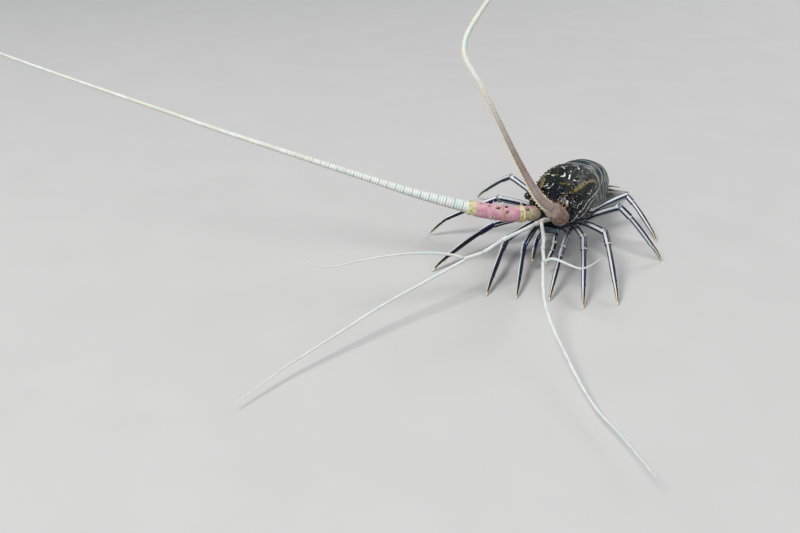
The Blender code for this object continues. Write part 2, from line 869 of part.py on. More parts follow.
def peduncle_spines(side, number, start, end, rings):
    """The thorns of one antenna segment, all leaning towards its far end."""
    sign = side_sign(side)
    ahead = (end - start).normalized()
    spines = []
    for share, degrees, length in PEDUNCLE_SPINES[number]:
        angle = math.radians(degrees if side == "left" else 180 - degrees)
        i = max(k for k in range(3) if share >= PEDUNCLE_STATIONS[k])
        part = (share - PEDUNCLE_STATIONS[i]) / (PEDUNCLE_STATIONS[i + 1] - PEDUNCLE_STATIONS[i])
        turn = angle / (2 * math.pi) * PEDUNCLE_SIDES % PEDUNCLE_SIDES
        k = int(round(turn)) % PEDUNCLE_SIDES
        root = rings[i][k].lerp(rings[i + 1][k], part)
        hub = sum(rings[i], Vector()).lerp(sum(rings[i + 1], Vector()), part) / PEDUNCLE_SIDES
        out = (root - hub).normalized()
        spines.append(spine(root, out * 0.8 + ahead * 0.7, length, length * 0.36, 0.022))
    return spines


def make_antenna(side, head_cutters):
    joints = [Vector(place) for place in ANTENNA[side]]
    names = ("base", "middle", "last")
    path = []
    sizes = []
    for i, (start, mid, end) in enumerate(PEDUNCLE_RADII):
        shares = list(zip(PEDUNCLE_STATIONS, (start, mid, mid, end)))
        for share, size in shares[0 if i == 0 else 1 :]:
            path.append(along(joints[i], joints[i + 1], share))
            sizes.append(size)
    radii = [(size, size * 0.94) for size in sizes]
    rings, tangents = tube_rings(path, radii, PEDUNCLE_SIDES)
    for i, name in enumerate(names):
        first = 3 * i
        part = rings[first : first + 4]
        if i > 0:
            start = PEDUNCLE_RADII[i][0] / sizes[first]
            hub = path[first]
            part[0] = [hub + (point - hub) * start + tangents[first] * SEAM for point in rings[first]]
        node = loft(f"antenna_{side}_{name}", part)
        if i == 2:
            make_whip(side, grown_copy(node, GAP))
        join(node, peduncle_spines(side, i, joints[i], joints[i + 1], part))
        if i == 0:
            carve(node, head_cutters)
        seat(node, joints[i], PINK)


def make_whip(side, socket):
    """The long flagellum of one antenna, in a few lengths, the first cut to its socket."""
    path = smooth_path(WHIPS[side], WHIP_STEPS)
    radii = []
    for i in range(WHIP_STEPS + 1):
        size = smooth_value(WHIP_RADII[side], i / WHIP_STEPS)
        radii.append((size, size))
    rings, tangents = tube_rings(path, radii, WHIP_SIDES)
    share = WHIP_STEPS // WHIP_LENGTHS
    for n in range(WHIP_LENGTHS):
        part = rings[n * share : (n + 1) * share + 1]
        if n > 0:
            part[0] = moved(part[0], tangents[n * share] * SEAM)
        node = loft(f"antenna_{side}_whip_{n + 1}", part)
        if n == 0:
            carve(node, [socket])
        seat(node, path[n * share], WHITE)


def make_antennule(side, head_cutters):
    joints = [Vector(place) for place in ANTENNULE[side]]
    path = []
    radii = []
    for i, size in enumerate(ANTENNULE_RADII):
        for share, swell in ANTENNULE_SWELL:
            path.append(along(joints[i], joints[i + 1], share))
            radii.append((size * swell,) * 2)
    path.append(joints[-1])
    radii.append((ANTENNULE_RADII[-1],) * 2)
    base = tube(f"antennule_{side}_base", path, radii, 8)
    carve(base, head_cutters)
    cutter = grown_copy(base, GAP)
    seat(base, joints[0], WHITE)
    inset = (joints[-1] - joints[-2]).normalized() * 0.012
    shift = Vector((side_sign(side) * 0.012, 0, 0.014))
    for name, way, sizes, offset in (
        ("long", FEELER_LONG[side], LONG_RADII, -shift),
        ("short", FEELER_SHORT[side], SHORT_RADII, shift),
    ):
        steps = FEELER_STEPS
        path = smooth_path(way, steps)
        path = [point + offset * (1 - i / steps) ** 6 for i, point in enumerate(path)]
        path[0] = path[0] - inset
        radii = [(smooth_value(sizes, i / steps),) * 2 for i in range(steps + 1)]
        node = tube(f"antennule_{side}_{name}", path, radii, 6)
        carve(node, [cutter])
        seat(node, way[0], WHITE)


def make_maxilliped(side, cutters):
    joints = [Vector(place) for place in MAXILLIPED[side]]
    path = [
        joints[0],
        along(joints[0], joints[1], 0.5),
        joints[1],
        joints[2],
        along(joints[2], joints[3], 0.5),
        joints[3],
    ]
    radii = [(size * 0.85, size) for size in (0.036, 0.034, 0.030, 0.028, 0.022, 0.008)]
    node = tube(f"maxilliped_{side}", path, radii, 9)
    carve(node, cutters)
    seat(node, joints[0], LEG_NAVY)


def oval(place, half_width, high, low, sides):
    """An upright oval ring at a place along the body."""
    middle = (high + low) / 2
    rise = (high - low) / 2
    ring = []
    for k in range(sides):
        angle = 2 * math.pi * k / sides
        ring.append(Vector((half_width * math.cos(angle), place, middle + rise * math.sin(angle))))
    return ring


def make_mouth(cutters):
    """The epistome and jaws, a blunt wedge under the antennae."""
    rings = [oval(*station, MOUTH_SIDES) for station in MOUTH]
    node = loft("mouthparts", rings)
    carve(node, cutters)
    return node


def make_antennular_plate(cutters):
    """The small plate between the antennae, which carries the antennules."""
    rings = [oval(*station, PLATE_SIDES) for station in ANTENNULAR_PLATE]
    node = loft("antennular_plate", rings)
    spines = []
    for place, length in PLATE_SPINES:
        for sign in (-1, 1):
            root = Vector((sign * PLATE_SPINE_SPREAD, place, PLATE_SPINE_HEIGHT))
            spines.append(spine(root, Vector((sign * 0.12, -0.6, 0.7)), length, length * 0.24, 0.018))
    join(node, spines)
    carve(node, cutters)
    return node


def make_horn(side, cutters):
    node = tube(f"horn_{side}", mirrored(HORN, side), HORN_RADII, 10)
    carve(node, cutters)
    return node


def make_eye(side, cutters):
    stalk_path = mirrored(EYE_STALK, side)
    stalk = tube(f"eye_{side}", stalk_path, [(0.026, 0.026), (0.030, 0.030), (0.034, 0.034)], 8)
    ball = bmesh.new()
    bmesh.ops.create_uvsphere(ball, u_segments=10, v_segments=7, radius=EYE_RADIUS)
    bmesh.ops.translate(ball, vec=Vector(stalk_path[-1]), verts=ball.verts)
    join(stalk, [mesh_object(ball, "ball")])
    carve(stalk, cutters)
    return stalk


def make_body():
    carapace = make_carapace()
    shell = grown_copy(carapace, GAP)
    sternum = make_sternum(shell)
    floor = grown_copy(sternum, GAP)
    mouth = make_mouth([shell, floor])
    jaws = grown_copy(mouth, GAP)
    for side in ("left", "right"):
        for number in range(5):
            make_leg(side, number, [shell, floor])
        make_maxilliped(side, [shell, floor, jaws])
        horn = make_horn(side, [shell])
        brow = grown_copy(horn, GAP)
        eye = make_eye(side, [shell, brow])
        seat(horn, mirrored(HORN[:1], side)[0], SHELL_NAVY)
        seat(eye, mirrored(EYE_STALK[:1], side)[0], EYE_BLACK)
        make_antenna(side, [shell, jaws])
    plate_node = make_antennular_plate([shell])
    roots = [shell, jaws, grown_copy(plate_node, GAP)]
    for side in ("left", "right"):
        make_antennule(side, roots)
    segments, tail_root = make_abdomen(shell)
    tail = make_tail(tail_root)
    for name, node in tail.items():
        seat(node, (0, 1.7, 0.25), SHELL_GREEN)
    for i, segment in enumerate(segments):
        seat(segment, abdomen_frames()[i][0], SHELL_GREEN)
    seat(plate_node, (0, -0.5, 0.66), PINK)
    seat(mouth, (0, -0.4, 0.4), UNDERSIDE)
    seat(sternum, (0, 0, 0.33), UNDERSIDE)
    join(carapace, carapace_spines())
    seat(carapace, (0, 0, AXIS_HEIGHT), SHELL_NAVY)


def centre_origin():
    """Move the whole model so that its origin is the middle of its underside."""
    bpy.context.view_layer.update()
    low = [math.inf] * 3
    high = [-math.inf] * 3
    for obj in LOBSTER.objects:
        if obj.type != "MESH":
            continue
        for vert in obj.data.vertices:
            point = obj.matrix_world @ vert.co
            for axis in range(3):
                low[axis] = min(low[axis], point[axis])
                high[axis] = max(high[axis], point[axis])
    CARRIER.location = (-(low[0] + high[0]) / 2, -(low[1] + high[1]) / 2, -low[2])


def start_scene():
    for obj in list(bpy.data.objects):
        bpy.data.objects.remove(obj)
    parts = bpy.data.collections.new("spiny_lobster")
    cutters = bpy.data.collections.new("cutters")
    bpy.context.scene.collection.children.link(parts)
    bpy.context.scene.collection.children.link(cutters)
    carrier = bpy.data.objects.new("lobster", None)
    parts.objects.link(carrier)
    return parts, cutters, carrier


LOBSTER, CUTTERS, CARRIER = start_scene()
make_body()
centre_origin()
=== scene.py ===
"""The looks of a painted spiny lobster: its shells, spines, feelers and markings, on its fixed frame."""

import functools
import math
import random

import bmesh
import bpy
from mathutils import Matrix, Vector, noise


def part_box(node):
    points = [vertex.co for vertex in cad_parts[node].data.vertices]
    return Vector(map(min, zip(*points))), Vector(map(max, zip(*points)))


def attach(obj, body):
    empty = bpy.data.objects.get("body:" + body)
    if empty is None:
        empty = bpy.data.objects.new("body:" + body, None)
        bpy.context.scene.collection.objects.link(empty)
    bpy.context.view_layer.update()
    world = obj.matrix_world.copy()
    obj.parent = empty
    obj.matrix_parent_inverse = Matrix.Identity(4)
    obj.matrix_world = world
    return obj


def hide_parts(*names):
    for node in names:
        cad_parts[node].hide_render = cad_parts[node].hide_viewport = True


bl_info = {
    "name": "Painted spiny lobster",
    "version": (1, 0, 0),
    "blender": (4, 5, 0),
    "location": "View3D > Sidebar > Lobster",
    "description": "Builds the shells, spines, feelers and markings of a painted spiny lobster",
    "category": "Add Mesh",
}

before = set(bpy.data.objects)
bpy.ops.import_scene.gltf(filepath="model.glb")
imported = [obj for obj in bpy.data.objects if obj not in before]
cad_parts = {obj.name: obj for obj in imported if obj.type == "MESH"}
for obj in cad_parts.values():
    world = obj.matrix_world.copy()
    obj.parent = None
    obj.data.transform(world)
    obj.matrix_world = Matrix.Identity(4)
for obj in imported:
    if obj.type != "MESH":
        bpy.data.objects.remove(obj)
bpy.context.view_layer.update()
FLOOR_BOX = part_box("thorax_floor")
CARAPACE_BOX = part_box("carapace")

# Places and sizes below are in carapace lengths, from the floor under the carapace's
# middle. The head looks along -Y and the animal's left side is at +X.
CARAPACE_FRONT = 0.52
AXIS_HEIGHT = 0.59
UP = Vector((0, 0, 1))
SIDES = ("left", "right")

# Carapace: place, half width, top and bottom from the axis, and how far the flanks
# lie behind the midline
CARAPACE = (
    (-0.52, 0.200, 0.115, 0.125, 0.03),
    (-0.46, 0.245, 0.170, 0.155, 0.02),
    (-0.38, 0.275, 0.215, 0.185, 0.00),
    (-0.26, 0.305, 0.262, 0.215, -0.02),
    (-0.14, 0.330, 0.302, 0.235, -0.05),
    (-0.03, 0.341, 0.324, 0.240, -0.06),
    (0.10, 0.355, 0.345, 0.240, -0.02),
    (0.22, 0.358, 0.350, 0.240, 0.00),
    (0.34, 0.350, 0.340, 0.230, 0.02),
    (0.43, 0.335, 0.318, 0.210, 0.03),
    (0.50, 0.326, 0.305, 0.200, 0.04),
)
# How a shell's cross section bends, across and upward: over the back, then under the
# flank, where it also draws in
BACK_BEND = (0.92, 0.90)
BELLY_BEND = (0.60, 0.70)
BELLY_DRAW = 0.10
# Cervical groove: degrees up from the flank, place
GROOVE = ((-30, -0.30), (10, -0.24), (35, -0.16), (60, -0.06), (80, -0.02), (90, -0.015))
GROOVE_FORM = (0.050, 0.017)
# Furrow along the rear edge, at a place, and the furrow and ridge along the back, at
# degrees: where, depth as a share of the shell's size, half width
REAR_FURROW = (0.445, 0.024, 0.014)
BACK_FURROW = (76, 0.018, 3.5)
BACK_FURROW_ENDS = (0.02, 0.42)
BACK_RIDGE = (90, 0.010, 2.5)

# Rows of carapace thorns: degrees up from the flank, first and last place, how many,
# first and last length
THORN_ROWS = (
    (80, -0.36, -0.14, 3, 0.055, 0.045),
    (61, -0.27, -0.12, 3, 0.090, 0.055),
    (43, -0.31, -0.14, 3, 0.060, 0.045),
    (26, -0.37, -0.14, 3, 0.065, 0.045),
    (11, -0.38, -0.16, 3, 0.050, 0.035),
    (81, 0.06, 0.38, 4, 0.050, 0.030),
    (63, 0.05, 0.38, 4, 0.050, 0.030),
    (45, 0.06, 0.38, 4, 0.045, 0.028),
    (28, 0.05, 0.38, 4, 0.042, 0.026),
    (12, 0.07, 0.36, 3, 0.036, 0.024),
)

# Markings of both flanks: half width, then places and degrees up from the flank
WHITE_MARKS = (
    (0.0065, ((0.46, 4), (0.30, 9), (0.01, 12), (-0.24, 3), (-0.35, -3), (-0.43, -12))),
    (0.0050, ((0.44, -4), (0.28, 3), (0.07, 3), (-0.02, -3), (-0.29, -9))),
    (0.0060, ((0.488, 0), (0.488, 90))),
    (0.0150, ((-0.42, 58), (-0.38, 53))),
    (0.0050, ((-0.31, 18), (-0.26, 24), (-0.20, 19), (-0.14, 25))),
    (0.0050, ((0.02, 27), (0.07, 21), (0.13, 25))),
    (0.0050, ((0.25, 18), (0.31, 22))),
    (0.0085, ((0.440, 60), (0.441, 60))),
    (0.0085, ((0.450, 50), (0.451, 50))),
    (0.0065, ((0.300, 54), (0.305, 54))),
    (0.0065, ((0.260, 66), (0.275, 66))),
)
CREAM_MARKS = (
    (0.018, ((-0.24, 60), (-0.19, 55), (-0.14, 52))),
    (0.025, ((-0.14, 51), (-0.07, 51), (0.00, 48), (0.10, 45))),
    (0.020, ((0.10, 45), (0.26, 36), (0.42, 23))),
    (0.010, ((-0.45, 30), (-0.40, 36))),
)
ORANGE_MARKS = (
    (0.006, ((-0.41, 46), (-0.36, 42))),
    (0.004, ((-0.33, 66), (-0.31, 61))),
)
# Markings of the back, which differ from side to side: degrees run from the left flank
# over the back to the right one
BACK_WHITE_MARKS = (
    (0.0060, ((0.28, 106), (0.23, 101), (0.17, 95))),
    (0.0055, ((0.23, 101), (0.28, 94))),
    (0.0050, ((0.37, 90), (0.42, 88), (0.40, 84), (0.34, 84), (0.34, 88))),
    (0.0060, ((0.40, 82), (0.25, 73), (0.33, 75))),
    (0.0050, ((0.15, 84), (0.10, 82))),
    (0.0085, ((0.055, 81), (-0.025, 78))),
    (0.0060, ((0.02, 114), (-0.01, 108))),
    (0.0060, ((0.05, 90), (0.00, 88), (-0.01, 94))),
    (0.0065, ((-0.25, 129), (-0.22, 118), (-0.22, 110))),
    (0.0060, ((-0.27, 108), (-0.26, 102), (-0.18, 99))),
    (0.0040, ((-0.22, 114), (-0.18, 112))),
    (0.0050, ((-0.02, 69), (-0.01, 63))),
    (0.0040, ((-0.32, 78), (-0.28, 63))),
    (0.0060, ((-0.42, 76), (-0.38, 70))),
    (0.0060, ((-0.42, 104), (-0.38, 110))),
    (0.0060, ((0.05, 120), (0.10, 128), (0.06, 134))),
    (0.0060, ((0.25, 118), (0.30, 126))),
    (0.0060, ((-0.12, 125), (-0.15, 133))),
    (0.0060, ((-0.33, 125), (-0.29, 133))),
)
BACK_CREAM_MARKS = (
    (0.016, ((0.01, 106), (0.02, 101))),
    (0.015, ((-0.17, 87), (-0.16, 80), (-0.13, 72))),
    (0.009, ((-0.34, 102), (-0.40, 101))),
)

# Abdomen: where it starts, each ring's length and slope in degrees, and its half width,
# height and depth at the planes between the rings
ABDOMEN_START = (0.0, 0.49, 0.60)
SEGMENT_LENGTHS = (0.19, 0.215, 0.215, 0.215, 0.21, 0.20)
SEGMENT_SLOPES = (3, 8, 15, 22, 28, 31)
SEGMENT_HALF_WIDTHS = (0.290, 0.285, 0.275, 0.262, 0.246, 0.226, 0.205)
SEGMENT_HEIGHTS = (0.250, 0.240, 0.228, 0.214, 0.198, 0.180, 0.158)
SEGMENT_DEPTHS = (0.130, 0.130, 0.125, 0.118, 0.110, 0.100, 0.085)
# Lengths of the side lobes, and the rings that carry paddles
PLEURON_LENGTHS = (0.10, 0.17, 0.18, 0.17, 0.15)
PLEOPOD_RINGS = (1, 2, 3, 4)
TAIL_SLOPE = 20
# Half width of a plate of the tail fan by share of its length
TAIL_OUTLINE = (
    (0.0, 0.34),
    (0.12, 0.54),
    (0.32, 0.86),
    (0.62, 1.00),
    (0.86, 0.86),
    (0.97, 0.52),
    (1.0, 0.16),
)

# Legs: the knee, then the toe on the floor, for pairs 1 to 5
KNEES = {
    "right": (
        (-0.20, -0.71, 0.26),
        (-0.44, -0.64, 0.26),
        (-0.70, -0.42, 0.30),
        (-0.78, -0.10, 0.51),
        (-0.83, 0.53, 0.56),
    ),
    "left": (
        (0.24, -0.65, 0.29),
        (0.46, -0.60, 0.45),
        (0.65, -0.37, 0.46),
        (0.74, -0.15, 0.71),
        (0.60, 0.90, 0.43),
    ),
}
TOES = {
    "right": ((0.00, -1.51), (-0.32, -1.60), (-1.10, -1.34), (-1.54, -0.47), (-1.42, 0.89)),
    "left": ((0.34, -1.40), (0.72, -1.40), (1.04, -1.16), (1.26, 0.11), (1.10, 0.60)),
}
ANKLE_BOWS = {
    "right": (0.035, 0.040, 0.045, 0.095, 0.040),
    "left": (0.035, 0.035, 0.040, 0.030, 0.040),
}
LEG_STOUTNESS = (0.92, 1.0, 1.04, 1.02, 0.96)
# The side of each leg that carries its bold line
LINE_SIDE = {"right": Vector((-0.467, -0.636, 0.591)), "left": Vector((-0.148, -0.831, 0.532))}

# Antennae: joints of the peduncle, then the way each whip takes
ANTENNA = {
    "right": (
        (-0.150, -0.45, 0.585),
        (-0.296, -0.694, 0.634),
        (-0.472, -0.820, 0.659),
        (-0.810, -1.021, 0.752),
    ),
    "left": (
        (0.150, -0.44, 0.590),
        (0.185, -0.707, 0.703),
        (0.206, -0.933, 0.855),
        (0.297, -1.440, 1.103),
    ),
}
PEDUNCLE_RADII = ((0.080, 0.092, 0.096), (0.086, 0.091, 0.090), (0.083, 0.089, 0.080))


class Finish:
    """A material in the making: each call adds a node and returns its output."""

    def __init__(self, name):
        self.material = bpy.data.materials.new(name)
        self.material.use_nodes = True
        self.tree = self.material.node_tree
        self.shader = self.tree.nodes["Principled BSDF"]

    def feed(self, socket, value):
        if isinstance(value, bpy.types.NodeSocket):
            self.tree.links.new(value, socket)
        elif isinstance(value, str):
            socket.default_value = (*paint_of(value), 1)
        elif isinstance(value, tuple):
            socket.default_value = (*value, 1)
        else:
            socket.default_value = value

    def add(self, kind, inputs=(), **settings):
        node = self.tree.nodes.new(kind)
        for key, value in settings.items():
            setattr(node, key, value)
        for key, value in dict(inputs).items():
            self.feed(node.inputs[key], value)
        return node

    def math(self, operation, first, second=0.0, third=0.0):
        inputs = {0: first, 1: second, 2: third}
        return self.add("ShaderNodeMath", inputs, operation=operation).outputs[0]

    def times(self, first, second):
        return self.math("MULTIPLY", first, second)

    def plus(self, first, second):
        return self.math("ADD", first, second)

    def minus(self, first, second):
        return self.math("SUBTRACT", first, second)

    def size_of(self, value):
        return self.math("ABSOLUTE", value)

    def step(self, value, low, high, start=0.0, end=1.0):
        """A soft step: start below low, end above high."""
        inputs = {"Value": value, "From Min": low, "From Max": high, "To Min": start, "To Max": end}
        return self.add("ShaderNodeMapRange", inputs, interpolation_type="SMOOTHSTEP").outputs[0]

    def mix(self, share, first, second):
        """Two colours mixed, each an output, a paint's name or three numbers."""
        node = self.tree.nodes.new("ShaderNodeMix")
        node.data_type = "RGBA"
        for key, value in ((0, share), (6, first), (7, second)):
            self.feed(node.inputs[key], value)
        return node.outputs[2]

    def place(self):
        return self.add("ShaderNodeTexCoord").outputs["Object"]

    def attribute(self, name, output="Fac"):
        return self.add("ShaderNodeAttribute", attribute_name=name).outputs[output]

    def run(self):
        """How far along its limb a point is, then its place across and over the limb."""
        return self.add("ShaderNodeSeparateXYZ", {0: self.attribute("run", "Vector")}).outputs

    def noise(self, scale, detail=2.0, roughness=0.5):
        inputs = {"Scale": scale, "Detail": detail, "Roughness": roughness, "Vector": self.place()}
        return self.add("ShaderNodeTexNoise", inputs).outputs["Fac"]

    def waver(self, scale, detail, reach, roughness=0.5):
        """A noise that swings about zero, by reach from end to end."""
        return self.math("MULTIPLY_ADD", self.noise(scale, detail, roughness), reach, -reach / 2)

    def patchy(self, scale, detail, low, high):
        """A value that drifts between low and high from place to place."""
        return self.step(self.noise(scale, detail), 0.3, 0.7, low, high)

    def cells(self, scale, randomness=1.0):
        inputs = {"Scale": scale, "Randomness": randomness, "Vector": self.place()}
        return self.add("ShaderNodeTexVoronoi", inputs, feature="F1").outputs["Distance"]

    def bump(self, height, distance, strength=1.0, normal=None):
        inputs = {"Height": height, "Distance": distance, "Strength": strength}
        if normal is not None:
            inputs["Normal"] = normal
        return self.add("ShaderNodeBump", inputs).outputs[0]

    def finish(self, colour, roughness, normal=None, coat=0.0, specular=0.3):
        self.feed(self.shader.inputs["Base Color"], colour)
        self.feed(self.shader.inputs["Roughness"], roughness)
        self.shader.inputs["Coat Weight"].default_value = coat
        self.shader.inputs["Coat Roughness"].default_value = 0.12
        self.shader.inputs["Specular IOR Level"].default_value = specular
        if normal is not None:
            self.feed(self.shader.inputs["Normal"], normal)
        return self.material


def finish_named(name, make, *paints):
    """The material of that name, made the first time it is asked for."""
    return bpy.data.materials.get(name) or make(name, *paints)


def paint_of(name):
    return tuple(getattr(bpy.context.scene.lobster_colours, name))


def relief(finish, fine, coarse):
    """Pits and grains of a living shell, as a normal."""
    grains = finish.cells(1500.0)
    pits = finish.noise(700.0, 3.0, 0.6)
    first = finish.bump(pits, 0.0004, coarse)
    return finish.bump(grains, 0.00025, fine, first)


def dark_shell(finish, blue, green, share=0.45):
    """The near-black ground colour, drifting between blue and green."""
    drift = finish.step(finish.noise(45.0, 2.0), share - 0.12, share + 0.12)
    ground = finish.mix(drift, blue, green)
    mottle = finish.step(finish.noise(320.0, 4.0, 0.65), 0.45, 0.75)
    lighter = tuple(value * 2.5 + 0.003 for value in paint_of(blue))
    return finish.mix(finish.times(mottle, 0.25), ground, lighter)


def dots(finish, scale, size, keep):
    """Small round spots, thinned out by a slow noise."""
    near = finish.cells(scale, randomness=0.9)
    spot = finish.step(near, size * 0.8, size, 1.0, 0.0)
    where = finish.step(finish.noise(scale * 0.22, 1.0), keep - 0.04, keep + 0.04)
    return finish.times(spot, where)


def make_carapace_finish(name):
    finish = Finish(name)
    along = finish.run()[0]
    wide = finish.waver(150.0, 2.0, 0.030)
    fine = finish.waver(520.0, 3.0, 0.016, 0.6)
    white = finish.plus(finish.attribute("white"), finish.times(fine, 0.8))
    waver = finish.plus(wide, fine)
    cream = finish.plus(finish.attribute("cream"), waver)
    orange = finish.plus(finish.attribute("spot"), waver)
    white_share = finish.step(white, -0.0016, 0.0016, 1.0, 0.0)
    broken = finish.step(finish.noise(260.0, 1.0), 0.30, 0.40, 0.35, 1.0)
    white_share = finish.times(white_share, broken)
    cream_share = finish.step(cream, -0.006, 0.005, 0.92, 0.0)
    orange_share = finish.step(orange, -0.005, 0.004, 0.9, 0.0)
    ground = dark_shell(finish, "navy", "deep_green")
    small = dots(finish, 270.0, 0.15, 0.56)
    colour = finish.mix(finish.times(small, 0.7), ground, "pale_blue")
    speckle = finish.step(finish.noise(700.0, 3.0, 0.6), 0.30, 0.62)
    front_tone = finish.mix(speckle, "mustard", "olive")
    rear_tone = finish.mix(speckle, "sand", "olive")
    cream_tone = finish.mix(finish.step(along, -0.06, 0.12), front_tone, rear_tone)
    colour = finish.mix(orange_share, colour, "orange")
    colour = finish.mix(cream_share, colour, cream_tone)
    colour = finish.mix(white_share, colour, "white")
    roughness = finish.patchy(300.0, 3.0, 0.34, 0.50)
    return finish.finish(colour, roughness, relief(finish, 0.5, 0.45), coat=0.05, specular=0.22)


def make_thorn_finish(name, base, shaft, tip):
    finish = Finish(name)
    along = finish.run()[0]
    waver = finish.waver(900.0, 2.0, 0.16)
    along = finish.plus(along, waver)
    colour = finish.mix(finish.step(along, 0.24, 0.36), base, shaft)
    colour = finish.mix(finish.step(along, 0.66, 0.90), colour, tip)
    return finish.finish(colour, 0.34, finish.bump(finish.noise(1600.0, 3.0), 0.0002, 0.5), coat=0.15)


def make_horn_finish(name):
    finish = Finish(name)
    along, across = finish.run()[:2]
    waver = finish.waver(300.0, 3.0, 0.16)
    phase = finish.math("FRACT", finish.times(finish.plus(along, waver), 3.4))
    bar = finish.step(finish.size_of(finish.minus(phase, 0.5)), 0.14, 0.19, 1.0, 0.0)
    edge = finish.step(finish.size_of(across), 0.25, 0.45)
    colour = dark_shell(finish, "navy", "deep_green")
    colour = finish.mix(finish.times(bar, edge), colour, "white")
    colour = finish.mix(finish.step(along, 0.90, 0.99), colour, "tan")
    return finish.finish(colour, 0.32, relief(finish, 0.35, 0.4), coat=0.15)


def make_eye_finish(name):
    finish = Finish(name)
    sheen = finish.step(finish.noise(260.0, 1.0), 0.4, 0.7)
    colour = finish.mix(sheen, (0.004, 0.004, 0.006), (0.016, 0.011, 0.010))
    facets = finish.cells(5200.0, randomness=0.1)
    return finish.finish(colour, 0.10, finish.bump(facets, 0.00005, 0.35), coat=0.8)


def make_stalk_finish(name):
    finish = Finish(name)
    waver = finish.waver(400.0, 2.0, 0.20)
    along = finish.plus(finish.run()[0], waver)
    colour = finish.mix(finish.step(along, 0.34, 0.44), "orange", "butter")
    colour = finish.mix(finish.step(along, 0.50, 0.58), colour, "white")
    colour = finish.mix(finish.step(along, 0.80, 0.88), colour, "navy")
    return finish.finish(colour, 0.35, relief(finish, 0.3, 0.4), coat=0.1)


def angle_from_line(finish, run):
    """How far round the limb from its line side, in radians, without and with its sign."""
    signed = finish.math("ARCTAN2", run[1], run[2])
    return finish.size_of(signed), signed


def band(finish, value, centre, half, soft):
    off = finish.size_of(finish.minus(value, centre))
    return finish.step(off, half - soft, half + soft, 1.0, 0.0)


def make_leg_finish(name):
    finish = Finish(name)
    run = finish.run()
    part = finish.attribute("part")
    angle, signed = angle_from_line(finish, run)
    waver = finish.waver(260.0, 3.0, 0.22)
    angle = finish.plus(angle, waver)
    signed = finish.plus(signed, waver)
    ground = dark_shell(finish, "navy", "blue", 0.52)
    bold = finish.step(angle, 0.36, 0.46, 1.0, 0.0)
    # The second stripe, on the side away from the bold line: a real white stripe, painted here at half
    # strength in pale blue as painted shade.
    fine = band(finish, angle, 2.10, 0.10, 0.05)
    thigh = band(finish, part, 2.0, 0.5, 0.01)
    broken = finish.step(finish.noise(500.0, 1.0), 0.40, 0.46)
    extra = finish.times(band(finish, signed, 1.25, 0.13, 0.04), thigh)
    extra = finish.times(extra, broken)
    other = finish.times(band(finish, signed, -1.25, 0.08, 0.04), thigh)
    cuff = finish.times(finish.step(run[0], 0.92, 0.94), finish.step(run[0], 0.985, 0.995, 1.0, 0.0))
    cuff = finish.times(cuff, band(finish, signed, 0.75, 0.80, 0.08))
    cuff = finish.times(cuff, finish.step(part, 3.4, 3.6, 1.0, 0.0))
    colour = finish.mix(finish.times(fine, 0.55), ground, "pale_blue")
    for share in (other, extra, cuff):
        colour = finish.mix(finish.times(share, 0.9), colour, "white")
    colour = finish.mix(bold, colour, finish.mix(0.35, "white", "pale_blue"))
    claw = finish.step(part, 4.5, 4.6)
    cream_end = finish.times(claw, finish.step(run[0], 0.15, 0.60))
    tinted = finish.mix(bold, "deep_green", "cream")
    colour = finish.mix(cream_end, colour, tinted)
    point = finish.times(claw, finish.step(run[0], 0.78, 0.90))
    colour = finish.mix(point, colour, "cream")
    speck = finish.times(dots(finish, 330.0, 0.13, 0.62), 0.7)
    colour = finish.mix(speck, colour, "white")
    roughness = finish.patchy(500.0, 2.0, 0.26, 0.38)
    return finish.finish(colour, roughness, relief(finish, 0.18, 0.25), coat=0.2)


def make_joint_finish(name):
    finish = Finish(name)
    folds = finish.noise(900.0, 2.0)
    colour = finish.mix(finish.step(folds, 0.45, 0.70), "slate", "pale_blue")
    return finish.finish(colour, 0.5, finish.bump(folds, 0.0004, 0.6))


